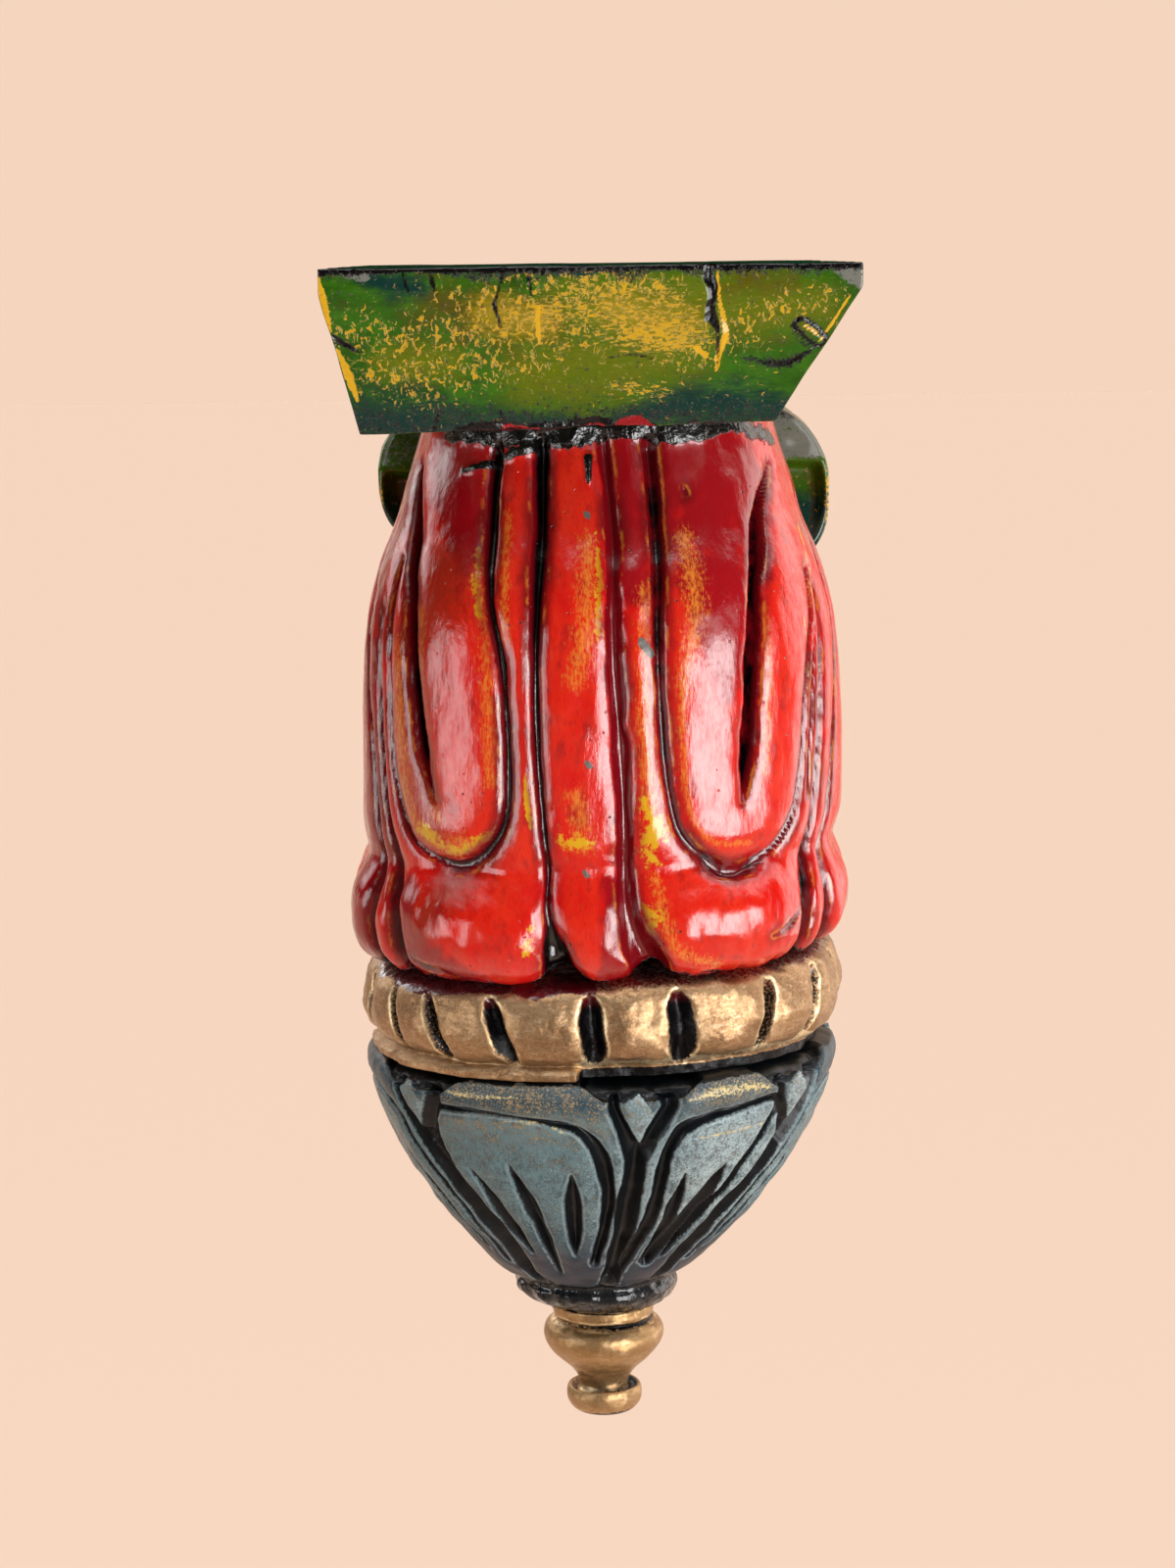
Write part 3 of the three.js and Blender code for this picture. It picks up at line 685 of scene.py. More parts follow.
RUBS = [
    [(67, -31.4, 3), (74, -30.6, 8), (80, -29.4, 6.4), (85, -28, 3)],
    [(137, -42, 9), (141.4, -34, 10.8), (138, -26, 7.2)],
    [(160.4, -15, 7.9), (165.4, -15.8, 7.2)],
    [(122, -17.4, 1.8), (128, -17.2, 3.6), (136, -16.2, 1.8)],
    [(130, 9, 7.2), (137, 11.4, 16.2), (142, 9.6, 16.2), (145, 12.4, 9)],
    [(154, 8.4, 3.6), (158, 11, 9), (163, 11, 5.4)],
    [(138.4, -9.6, 7.2), (139.4, -6.6, 10.1), (139.8, -2.1, 5.4)],
    [(64, -1, 2.5), (77, -0.2, 5.4), (90, -1, 2.5)],
    [(84, 51.5, 1.8), (100, 53.2, 4), (112, 51.6, 1.8)],
    [(66, 64, 1.8), (80, 61, 4.3), (94, 58.6, 1.8)],
]
DRY_STROKES = [
    [(78, 10.4, 7), (96, 10.2, 11), (115, 9.6, 13), (132, 11, 13)],
    [(66, -3, 9), (86, -3.5, 12), (100, -6, 10)],
    [(60, -25, 6), (90, -22, 6)],
    [(66, 22, 10), (84, 22, 12), (102, 18, 7), (128, 18.4, 4), (140, 24, 4), (142, 34, 4)],
    [(84, 39.6, 5), (106, 38, 7), (124, 36.6, 5)],
    [(92, -50, 12), (128, -48, 15), (140, -40, 14), (140, -30, 10)],
    [(84, -45, 9), (120, -42, 10), (134, -38, 8)],
    [(70, -28.5, 7), (96, -26, 8), (124, -25, 8)],
    [(128, -6, 10), (140, -5, 12)],
    [(148, 12, 6), (166, 16, 8), (172, 26, 7)],
]
# Darker crimson at the top under the shelf, down the left flank and low by the ring: partly the paint's own
# tone and partly painted shade
CRIMSON_SPOTS = [
    [(40, 9, 18), (66, 7.6, 14), (80, 8, 8)],
    [(40, 32, 60), (56, 30, 46), (74, 29, 30), (90, 28, 20), (104, 28, 8)],
    [(40, -44, 34), (62, -36, 20), (72, -34, 8)],
    [(46, 40, 30), (64, 42, 20), (75, 43, 8)],
    [(150, 2.4, 8), (174, 4.5, 12)],
    [(56, -74, 30), (90, -70, 26), (130, -66, 24), (172, -66, 30)],
    [(152, -46, 10), (164, -44, 14), (174, -30, 12)],
]
RUST_SPOTS = [
    [(76, -40, 26), (108, -47, 26), (136, -42, 22)],
    [(150, -34, 18), (160, -40, 14)],
]
GREY_CHIPS = [
    [(90.6, 9.2, 2.6), (93.4, 11.2, 2.6)],
    [(59.8, -3.4, 1.8), (60.4, -3, 1.6)],
    [(119.8, -3.6, 1.8), (120.6, -3, 1.6)],
    [(147, -4, 1.6), (147.8, -3.2, 1.4)],
]
INK_MARKS = [
    [(49.6, -40.5, 1.6), (46.8, -31.4, 2.4), (44.1, -21.4, 3), (42.5, -14.3, 2)],
    [(46.6, -2.8, 2.6), (52.4, -2.8, 1.4)],
]
DIRT = [(39.6, 38, 7), (42, 50, 9), (44, 60, 8), (45, 66, 5)]
CHISEL_MARKS = [
    [(168.4, -45, 0.5), (171.4, -39, 2.8), (173.4, -33, 0.5)],
    [(54.8, 23.8, 1.2), (55.8, 24, 1.2)],
    [(166, 38, 0.5), (164, 43, 2.4), (161, 47, 0.8)],
]


def lobe_swell(drop, angle):
    """How far the lobes under the petals stand out."""
    angle = half_turned(angle)
    behind = (angle < -90) | (angle > LOBES[-1][1])
    folded = np.where(behind, np.sign(angle) * 180 - angle, angle)
    seen = np.where(folded < LOBES[0][0], -folded, folded)
    rise = np.sin(math.pi * np.clip((drop - LOBE_DROPS[0]) / (LOBE_DROPS[1] - LOBE_DROPS[0]), 0, 1))
    swell = np.zeros(len(angle))
    for start, end, height in LOBES:
        across = 1 - np.abs(2 * (seen - start) / (end - start) - 1) ** 2.4
        swell = np.where((seen >= start) & (seen <= end), height * across, swell)
    return swell * rise


def bud_surface(drop, angle):
    radius = curve_value(BUD_OUTLINE, drop) * squareness(angle, BUD_POWER)
    return place(drop, angle, radius + lobe_swell(drop, angle))


BUD_COLUMNS = 480
BUD_ROWS = 142
BUD_CROWDING = 0.33
BUD_SHOULDER = (1.25, 2.1)
MARK_DEPTH = 0.4


def make_bud(material):
    drops = np.linspace(BUD_OUTLINE[0][0], BUD_OUTLINE[-1][0], BUD_ROWS)
    drop, angle, points, normals = surface_rows(bud_surface, drops, BUD_COLUMNS, BUD_CROWDING)

    carving = Carving(bud_surface, points, seed=11)
    for path in REPEATED:
        carving.gouge(turned_back(path))
    for path in (FLANK, mirrored(FLANK), SIDE_LEFT, SIDE_RIGHT, THIN_RIGHT, SIDE_RIB, mirrored(SIDE_RIB)):
        carving.gouge(path, ink=0.6)
    for path in (PETAL_LEFT, RIB_LEFT):
        carving.gouge(path)
    carving.gouge(SLIT_LEFT, ink=1.4)
    carving.gouge(SLIT_RIGHT, ink=0.7)
    carving.gouge(PETAL_RIGHT, ink=0.5)
    carving.gouge(RIB_RIGHT, ink=-0.3, depth=0.55)
    marks = Carving(bud_surface, points, seed=50)
    for path in CHISEL_MARKS:
        marks.gouge(path, depth=MARK_DEPTH)

    soot_and_shade = 1.1 * smooth_step(drop + 1.8 * noise(points, 7, 3, 3), 44.6, 41.4)
    soot_and_shade *= smooth_step(np.abs(angle), 58, 46)
    soot_and_shade = np.maximum(soot_and_shade, 0.6 * smooth_step(drop + 1.2 * noise(points, 7, 4, 2), 172.8, 175))
    soot_and_shade = np.maximum(soot_and_shade, 0.75 * carving.stroke(DIRT, 0.6))
    ridge = carving.strokes(INK_MARKS, 0.6)
    soot_and_shade = np.maximum(soot_and_shade, 1.4 * ridge)
    fields = {
        "edge": np.minimum(carving.edge, marks.edge),
        "ink": carving.ink,
        "soot_and_shade": soot_and_shade,
        "rub": 1.2 * carving.strokes(RUBS) - 0.4,
        "dry": 1.1 * carving.strokes(DRY_STROKES, 0.8) - 0.2,
        "crimson": 1.2 * carving.strokes(CRIMSON_SPOTS, 0.6),
        "rust": carving.strokes(RUST_SPOTS, 0.7),
        "grey": 1.2 * carving.strokes(GREY_CHIPS, 0.4),
        "matte": np.minimum(1.8 * carving.strokes((SLIT_LEFT, SLIT_RIGHT), 0.4), 1),
    }

    rise = -carving.cut - marks.cut - carving.shoulder(*BUD_SHOULDER)
    rise += (0.22 + 0.26 * smooth_step(drop, 142, 152)) * noise(points / (1, 1, 1.8), 5.5, 21, 2) - 0.2
    rise += 0.9 * soot_and_shade * smooth_step(drop, 60, 44) * (0.5 + 0.5 * noise(points, 3.6, 22, 2))
    rise += 0.6 * ridge
    carved = points + normals * rise[:, None]
    return make_rows("bracket_body", (BUD_ROWS, BUD_COLUMNS), carved, fields, material)


# Arm: a web between two scrolled rolls that run back to the wall

ARM_FRONT = -82
WEB = {"left": -33, "right": 36, "top": 39.4, "foot": 96, "arch": 82, "arch_reach": 44, "foot_end": 8}
# A roll's last value is a painted reflection: how pale grey its top facet is, more on the right roll, where
# the light falls
SCROLL_NAMES = ("side", "x", "drop", "width", "height", "power", "lip", "wear_and_sheen")
SCROLLS = [
    dict(zip(SCROLL_NAMES, (1, 43.5, 61, 20.2, 22.8, 2.3, 52.5, 0.8))),
    dict(zip(SCROLL_NAMES, (-1, -38.7, 56.5, 19.3, 17.5, 2.6, 54, 0.4))),
]
BELTS = (-30, -50)
ROLL_COLUMNS = 96


def super_curve(turn, power):
    return (
        np.sign(np.cos(turn)) * np.abs(np.cos(turn)) ** (2 / power),
        np.sign(np.sin(turn)) * np.abs(np.sin(turn)) ** (2 / power),
    )


def scroll_front(roll, z, inset):
    """How far the front of a roll stands back: a sloping top facet, and a hollow below its lip in a rim."""
    below = MOUNT_DROP - z - roll["lip"]
    facet = 0.5 * np.maximum(-below, 0)
    hollow = 5.5 * smooth_step(below, 0.2, 2.2) * smooth_step(below, 26, 6) * smooth_step(inset, 1.5, 4.5)
    lip = -0.5 * np.exp(-((below + 0.6) ** 2) / 1.2)
    return facet + hollow + lip


def flat_end(row):
    """Smaller and smaller copies of a row, so that the flat end it bounds is shaded flat."""
    middle = row.mean(axis=0)
    return [middle + (row - middle) * share for share in (0.985, 0.9, 0.5)]


def worked(grid, size, seed):
    """Rows with a slightly uneven, hand-cut surface that keeps inside the turned one and flat at the wall."""
    flat = grid.reshape(-1, 3)
    depth = (0.3 * noise(flat, size, seed, 2) - 0.3) * smooth_step(-flat[:, 1], 0, 2)
    return (flat + row_normals(grid).reshape(-1, 3) * depth[:, None]).reshape(grid.shape)


def arm_piece(name, rows, size, seed, material):
    points = with_ends(worked(np.array(rows), size, seed))
    faces = tube_faces(len(rows), len(rows[0]))
    return make_piece(name, inside_box(points), faces, arm_fields(points), material)


def make_roll(roll, material):
    turn = np.linspace(0, 2 * math.pi, ROLL_COLUMNS, endpoint=False)
    across, up = super_curve(turn, roll["power"])
    cap_shares = np.concatenate([np.linspace(0.06, 0.86, 15), [0.9, 0.94, 0.97, 0.99]])
    depths = np.concatenate([[0.3, 0.8, 1.5], np.arange(2.6, -ARM_FRONT, 1.2), [-ARM_FRONT]])
    rows = []
    for share in cap_shares:
        x = roll["x"] + roll["width"] * across * share
        z = MOUNT_DROP - roll["drop"] + roll["height"] * up * share
        inset = (1 - share) * roll["width"]
        back = scroll_front(roll, z, inset) + 1.2 * smooth_step(share, 0.93, 1.0)
        rows.append(np.stack([x, ARM_FRONT + back, z], -1))
    for depth in depths:
        round_off = 1.0 - 0.02 * smooth_step(depth, 3, 0)
        belt = sum(1.9 * np.clip(1 - abs(ARM_FRONT + depth - middle) / 2.6, 0, 1) for middle in BELTS)
        x = roll["x"] + (roll["width"] * round_off - belt) * across
        z = MOUNT_DROP - roll["drop"] + (roll["height"] * round_off - belt) * up
        back = scroll_front(roll, z, 0.0) * smooth_step(depth, 16, 0) + 1.2
        rows.append(np.stack([x, np.minimum(ARM_FRONT + depth + back * smooth_step(depth, 20, 0), 0), z], -1))
    rows += flat_end(rows[-1])
    return arm_piece("roll", rows, 8, 31, material)


WEB_COLUMNS = 120


def make_web(material):
    turn = np.linspace(0, 2 * math.pi, WEB_COLUMNS, endpoint=False)
    across, up = super_curve(turn, 9)
    middle, half = (WEB["left"] + WEB["right"]) / 2, (WEB["right"] - WEB["left"]) / 2
    rows = []
    for depth in np.linspace(ARM_FRONT, 0, 64):
        share = smooth_step(-depth, WEB["foot_end"], WEB["arch_reach"])
        foot = WEB["foot"] + (WEB["arch"] - WEB["foot"]) * share
        centre, height = (WEB["top"] + foot) / 2, (foot - WEB["top"]) / 2
        z = MOUNT_DROP - centre + height * up
        rows.append(np.stack([middle + half * across, np.full(WEB_COLUMNS, depth), z], -1))
    rows = flat_end(rows[0])[::-1] + rows + flat_end(rows[-1])
    return arm_piece("web", rows, 9, 33, material)


def arm_fields(points):
    x, y, z = points.T
    drop = MOUNT_DROP - z
    scratch = np.zeros(len(points))
    grey = np.zeros(len(points))
    edge = np.full(len(points), FAR)
    for roll in SCROLLS:
        outer = (x - roll["x"]) * roll["side"] / roll["width"]
        rim = smooth_step(outer, 0.84, 0.96) * smooth_step(drop, roll["lip"] - 2, roll["lip"] + 6)
        scratch = np.maximum(scratch, 0.7 * rim * smooth_step(-y, 72, 80))
        # Painted reflection: pale grey on each roll's top facet, stronger on the right roll
        facet = smooth_step(roll["lip"] - drop, -0.4, 1.4) * smooth_step(-y, 66, 74)
        grey = np.maximum(grey, roll["wear_and_sheen"] * facet * (x * roll["side"] > 0))
    for middle in BELTS:
        edge = np.minimum(edge, np.abs(y - middle) - 1.1)
    shade = 0.9 * smooth_step(drop, 56, 66) * smooth_step(-y, 70, 76)
    soot_and_shade = 0.7 * smooth_step(drop, 44, 39) * smooth_step(-y, 40, 70) + 0.1
    blank = np.zeros(len(points))
    unused = dict.fromkeys(("brown", "scratch", "flecks", "red", "dusty", "wash"), blank)
    return {
        "edge": edge, "olive": 0.3 + blank, "teal": shade, "strip": 0.8 * scratch, "soot_and_shade": soot_and_shade, "grey": grey,
        **unused,
    }


def join_to(base, tools):
    """Join every tool's solid to the base mesh. The tools are removed."""
    for tool in tools:
        modifier = base.modifiers.new("join", "BOOLEAN")
        modifier.operation = "UNION"
        modifier.solver = "MANIFOLD"
        modifier.object = tool
        modifier.material_mode = "TRANSFER"
        shown = base.evaluated_get(bpy.context.evaluated_depsgraph_get())
        mesh = bpy.data.meshes.new_from_object(shown)
        base.modifiers.remove(modifier)
        old = base.data
        base.data = mesh
        bpy.data.meshes.remove(old)
        bpy.data.objects.remove(tool)
    base.data.name = base.name


# Shelf: a thick board with bevels on its front and both sides

SHELF = {
    "edge": 6, "under_left": -55.5, "under_right": 43, "under_front": -183, "thick_left": 39.2,
    "thick_right": 37,
}
SHELF_COUNTS = (210, 84, 62)
CRACKS = [
    [
        (27.2, 0.4, 2.2), (27.4, 4, 2.6), (28, 7.5, 1.6), (27.6, 11.2, 2.2), (28.9, 14.6, 1), (29.3, 19, 0.8),
        (29.3, 25, 0.3),
    ],
    [(-20.4, 0, 0.8), (-22.1, 6.5, 0.9), (-22.8, 9.2, 1.1), (-21.6, 14, 0.4)],
    [(-37.6, 0.6, 0.6), (-37.4, 3.6, 0.9), (-36.3, 6.5, 0.3)],
    [(-44, 1, 0.5), (-43.4, 4, 0.8), (-42.4, 6.5, 0.3)],
    [(-14.8, 2.6, 0.7), (-14.2, 7, 0.4)],
    [(-63.6, 14.4, 0.8), (-59.7, 16.7, 1.5), (-54.5, 19.9, 0.4)],
    [(36.7, 21.6, 0.3), (41, 23.6, 1.1), (45, 23.4, 1.2), (50, 20.8, 0.5)],
    [(4, 21.6, 0.4), (9, 20.9, 0.5), (14, 22, 0.3)],
]
CRACK_LIP = [(28.9, 13.8, 3.2), (29.8, 16.6, 4), (29.6, 19, 2.6)]
KNOT = {"x": 9.9, "drop": 24.8, "width": 7.2, "height": 4.2}
SPLINTER = [(48.6, 14.2, 2), (50.6, 15.8, 2.8), (53, 17.8, 2.4)]
WASH_SPOTS = [
    [(4, 10, 14), (14, 13, 18), (22, 14, 14)],
    [(-24, 11, 16), (-12, 13, 14)],
]
SCRATCH_SPOTS = [
    [(-18, 12, 10), (-6, 10, 18)],
    [(-2, 9, 22), (10, 12, 28), (20, 14, 22)],
    [(8, 15, 16), (16, 16, 16), (24, 17, 12)],
    [(6, 29, 8), (16, 30, 7)],
]
DENSE_SPOTS = [[(8, 16.6, 8), (14, 17, 9), (21, 17.6, 8)], [(-13, 9, 3), (-13, 18, 3)]]
FLECK_SPOTS = [
    [(-56, 15, 12), (-44, 18, 18), (-30, 15, 26), (-16, 14, 30), (-6, 14, 22)],
    [(-52, 24, 14), (-38, 26, 16), (-24, 22, 16)],
    [(-20, 10, 20), (-2, 6, 16), (16, 5, 14)],
    [(22, 18, 16), (34, 16, 14)],
    [(38, 12, 8), (56, 8, 8)],
]
YELLOW_STRIPS = [
    [(-63.9, 2.4, 1.6), (-62.9, 8, 3), (-61.4, 14.6, 1.2)],
    [(-60, 19, 1), (-57.6, 25, 2.6), (-55.6, 31, 1)],
    [(29.2, 2, 0.8), (29.4, 7, 1.2), (30.6, 13, 1.4), (31, 17, 2), (29.4, 21, 2), (29, 25, 0.8)],
    [(24, 19.4, 1.6), (26.4, 21.4, 2)],
    [(59.8, 8, 0.6), (55.6, 14.6, 1), (53, 18, 0.6)],
    [(-12.6, 9, 0.8), (-12.8, 14, 1.4), (-12.4, 18, 0.8)],
    [(49.6, 14.2, 1), (52.6, 16.4, 1.2)],
    [(-23.2, 36.2, 1.6), (-21.6, 38, 1.4)],
]
OLIVE_SPOTS = [
    [(-14, 25, 26), (4, 22, 34), (20, 18, 30)],
    [(20, 8, 24), (36, 10, 24), (52, 10, 18)],
    [(-6, 10, 24), (10, 8, 26)],
    [(-48, 22, 14), (-34, 22, 14)],
]
BROWN_SPOTS = [
    [(-38, 9, 18), (-24, 12, 22), (-10, 13, 14)],
    [(34, 5, 12), (46, 4, 8)],
]
TEAL_SPOTS = [
    [(-58, 36, 22), (-44, 37, 24), (-26, 38, 16), (-8, 37, 8)],
    [(6, 37, 10), (22, 33, 15), (34, 33, 18), (44, 34, 12)],
    [(-54, 1, 8), (-46, 4, 12), (-40, 5, 8)],
    [(-10, 1, 4), (0, 1, 5)],
]
DARK_BLOTS = [
    [(36, 22, 3), (42, 23.4, 5), (47, 22.8, 5), (51, 20.4, 3)],
    [(-22, 34, 3), (-20, 38, 4)],
    [(-36, 33, 3), (-38, 38, 4)],
    [(46.6, 14.4, 2), (48.8, 18.4, 2.6), (52, 20, 1.6)],
]
GREY_SPOTS = [
    [(57, 0.2, 5), (61, 2.4, 7), (64, 6, 3)],
    [(-57, 0.8, 4), (-53, 2, 3.4)],
]
RED_SPECKS = [
    [(6.4, 37.4, 3), (10, 37, 4), (14.6, 38.6, 2)],
    [(-20.4, 38.4, 3), (-12, 39, 2)],
    [(-2, 38.4, 2), (2, 38, 2)],
]


def box_shell(counts):
    """The lattice places on a box's faces, as whole numbers, and the quads between them."""
    size = np.array(counts) + 1
    quads = []
    for axis in range(3):
        u, v = [a for a in range(3) if a != axis]
        i, j = np.meshgrid(np.arange(counts[u]), np.arange(counts[v]), indexing="ij")
        for side in (0, 1):
            corners = []
            for di, dj in ((0, 0), (1, 0), (1, 1), (0, 1)):
                spot = np.zeros(i.shape + (3,), int)
                spot[..., axis] = side * counts[axis]
                spot[..., u], spot[..., v] = i + di, j + dj
                corners.append(spot[..., 0] + size[0] * (spot[..., 1] + size[1] * spot[..., 2]))
            faces = np.stack(corners, -1).reshape(-1, 4)
            flip = (side == 0) != (axis == 1)
            quads.append(faces[:, ::-1] if flip else faces)
    quads = np.concatenate(quads)
    kept, index = np.unique(quads, return_inverse=True)
    places = np.stack([kept % size[0], kept // size[0] % size[1], kept // (size[0] * size[1])], -1)
    return places, index.reshape(quads.shape)


def relaxed(points, quads, rounds, held):
    """Points drawn towards their neighbours' middle, which rounds the edges. Held ones keep their Y."""
    pairs = np.concatenate([quads[:, [0, 1]], quads[:, [1, 2]], quads[:, [2, 3]], quads[:, [3, 0]]])
    count = np.bincount(pairs.ravel(), minlength=len(points))[:, None]
    for _ in range(rounds):
        total = np.zeros_like(points)
        for axis in range(3):
            total[:, axis] = np.bincount(pairs[:, 0], points[pairs[:, 1], axis], len(points))
            total[:, axis] += np.bincount(pairs[:, 1], points[pairs[:, 0], axis], len(points))
        moved = 0.5 * points + 0.5 * (total / count)
        moved[held, 1] = points[held, 1]
        points = moved
    return points


def front_stroke(points, path, soft=1.0):
    """A mark on the shelf's front, from (x, drop, width) spots."""
    fine = smooth_path(path)
    line = np.column_stack([fine[:, 0], MOUNT_DROP - fine[:, 1]])
    flat = points[:, [0, 2]]
    away, width = nearest_on(flat, line, fine[:, 2])
    return away, np.clip(1 - away / (width / 2), 0, 1) ** soft, width


def front_strokes(points, paths, soft=1.0):
    return np.maximum.reduce([front_stroke(points, path, soft)[1] for path in paths])


def make_shelf(material):
    places, quads = box_shell(SHELF_COUNTS)
    u, v, w = (places / np.array(SHELF_COUNTS)).T
    v = v**1.5
    edge_share = SHELF["edge"] / SHELF["thick_left"]
    x_top = SHELF_LOW[0] + (SHELF_HIGH[0] - SHELF_LOW[0]) * u
    x_under = SHELF["under_left"] + (SHELF["under_right"] - SHELF["under_left"]) * u
    thick = SHELF["thick_left"] + (SHELF["thick_right"] - SHELF["thick_left"]) * u
    down = 1 - w
    slope = np.clip((down - edge_share) / (1 - edge_share), 0, 1)
    x = x_top + (x_under - x_top) * slope
    front = SHELF_LOW[1] + (SHELF["under_front"] - SHELF_LOW[1]) * slope
    y = front * (1 - v)
    points = np.column_stack([x, y, MOUNT_DROP - thick * down])
    at_wall = v > 0.999
    points = relaxed(points, quads, 2, at_wall)

    normals = np.zeros_like(points)
    a, b, c, d = (points[quads[:, i]] for i in range(4))
    face_normals = np.cross(c - a, d - b)
    for i in range(4):
        np.add.at(normals, quads[:, i], face_normals)
    normals /= np.linalg.norm(normals, axis=1, keepdims=True)

    drop = MOUNT_DROP - points[:, 2]
    in_front = smooth_step(-points[:, 1], 176, 181) * smooth_step(-normals[:, 1], 0.3, 0.6)
    facing = in_front > 0.5
    edge = np.full(len(points), FAR)
    cut = np.zeros(len(points))
    for path in CRACKS:
        away, _, width = front_stroke(points, path)
        half = width / 2 * (1 + 0.7 * noise(points, 2.6, 41, 2))
        edge = np.where(facing, np.minimum(edge, away - half), edge)
        cut = np.maximum(cut, facing * np.clip(1 - away / np.maximum(half, 0.05), 0, 1) * width * 0.4)
    away = np.hypot((points[:, 0] - KNOT["x"]) / KNOT["width"], (drop - KNOT["drop"]) / KNOT["height"])
    knot_line = in_front * np.exp(-((away - 1) ** 2) / 0.004) * smooth_step(noise(points, 5, 42), -0.1, 0.3)
    away, _, width = front_stroke(points, SPLINTER)
    splinter = in_front * smooth_step(away - width / 2, 0.25, -0.35)
    round_splinter = in_front * smooth_step(away - width / 2, 1.2, 0.2) - splinter
    lip = in_front * front_stroke(points, CRACK_LIP, 0.5)[1]

    smeared = drop + 1.9 * noise(points, 6, 49, 3)
    rim = 0.9 * smooth_step(drop, 1.6, 0.3) + 0.55 * smooth_step(smeared, 4.6, 0.6)
    rim = rim * smooth_step(-points[:, 1], 176, 188)
    joint = smooth_step(drop + 2.2 * noise(points, 7, 43, 3), 35.2, 38.6)
    joint *= smooth_step(-points[:, 1], 150, 180) * smooth_step(points[:, 0], -42, -24)
    under = smooth_step(-normals[:, 2], 0.8, 0.95)
    top = smooth_step(normals[:, 2], 0.8, 0.95)
    side = smooth_step(np.abs(normals[:, 0]), 0.5, 0.8)
    plain = 1 - in_front
    shown = plain * (1 - top) * (1 - under)
    wear = noise(points, 26, 44, 2)

    def painted(paths, soft=1.0):
        return in_front * front_strokes(points, paths, soft)

    fields = {
        "edge": edge,
        "olive": painted(OLIVE_SPOTS, 0.8) + 0.3 * plain * (1 - top),
        "brown": 0.8 * painted(BROWN_SPOTS, 0.8),
        "teal": np.maximum.reduce([
            0.95 * painted(TEAL_SPOTS, 0.8), shown * 0.7 * smooth_step(drop, 20, 38), 0.7 * top,
        ]),
        "scratch": np.add.reduce([
            0.44 * painted(SCRATCH_SPOTS, 0.7), 0.24 * painted(DENSE_SPOTS, 0.7),
            shown * (0.02 + 0.16 * wear),
        ]),
        "flecks": 0.36 * painted(FLECK_SPOTS, 0.5) + shown * (0.06 + 0.12 * wear),
        "strip": 1.3 * painted(YELLOW_STRIPS, 0.6),
        "soot_and_shade": np.maximum.reduce([
            1.2 * joint, rim, 0.5 * knot_line, 1.2 * round_splinter, 0.7 * painted(DARK_BLOTS),
            0.4 * in_front * smooth_step(drop, 24, 36), 0.2 * in_front, 0.42 * top, 0.4 * under,
            0.55 * shown * smooth_step(drop, 3, 0), 1.3 * top * smooth_step(-points[:, 1], 184, 189),
        ]),
        "grey": 1.2 * painted(GREY_SPOTS, 0.5) + 0.5 * shown * smooth_step(drop, 1.6, 0) * side,
        "red": 1.2 * painted(RED_SPECKS, 0.5),
        "dusty": top,
        "wash": painted(WASH_SPOTS, 0.8),
    }

    rise = 0.26 * noise(points / (1.8, 1, 1), 9, 46, 2) - 0.14
    rise += 0.1 * noise(points, 2.5, 47, 2) * in_front
    rise += -cut - 0.25 * knot_line + 0.9 * splinter - 0.4 * round_splinter + 0.5 * lip
    rise += 0.5 * joint * noise(points, 3, 48, 2)
    rise[at_wall] = 0
    points = points + normals * rise[:, None]
    return make_piece("shelf_board", inside_box(points), quads.tolist(), fields, material)


# Ring of knobs

FRONT_CUTS = [
    (-54, 2.4, 3, 0.6), (-40.5, 3.6, 5, 0.7), (-24, 4.6, 5, 1.0), (-2.5, 5.8, 1, 1.3), (18, 6.6, 1, 1.3),
    (39.5, 3.8, -2, 0.6), (56, 3.2, -4, 0.5),
]
HIDDEN_CUTS = 13
HIDDEN_CUT = (3.2, 0, 0.8)
# A cut's spots, as drop, part of the slant and part of the width
CUT_SPOTS = [(178.4, -1 / 2, 0.55), (181, -1 / 3, 0.92), (187, 0, 1), (192.6, 1 / 3, 1), (195.6, 1 / 2, 0.7)]
CUT_DEPTH = 3.4
RING_SHOULDER = (0.9, 1.6)
LEDGE = {"from": -86, "to": -6, "reach": 4.2, "drop": 196.4}
RING_COLUMNS = 520
RING_CROWDING = 0.3
RING_UPPER = np.linspace(175, 196, 34)
RING_LOWER = (196.3, 196.6, 197, 197.6, 198.2, 198.8, 199.2, 199.5, 199.6)


def ring_surface(drop, angle):
    return place(drop, angle, curve_value(RING_OUTLINE, drop) * squareness(angle, RING_POWER))


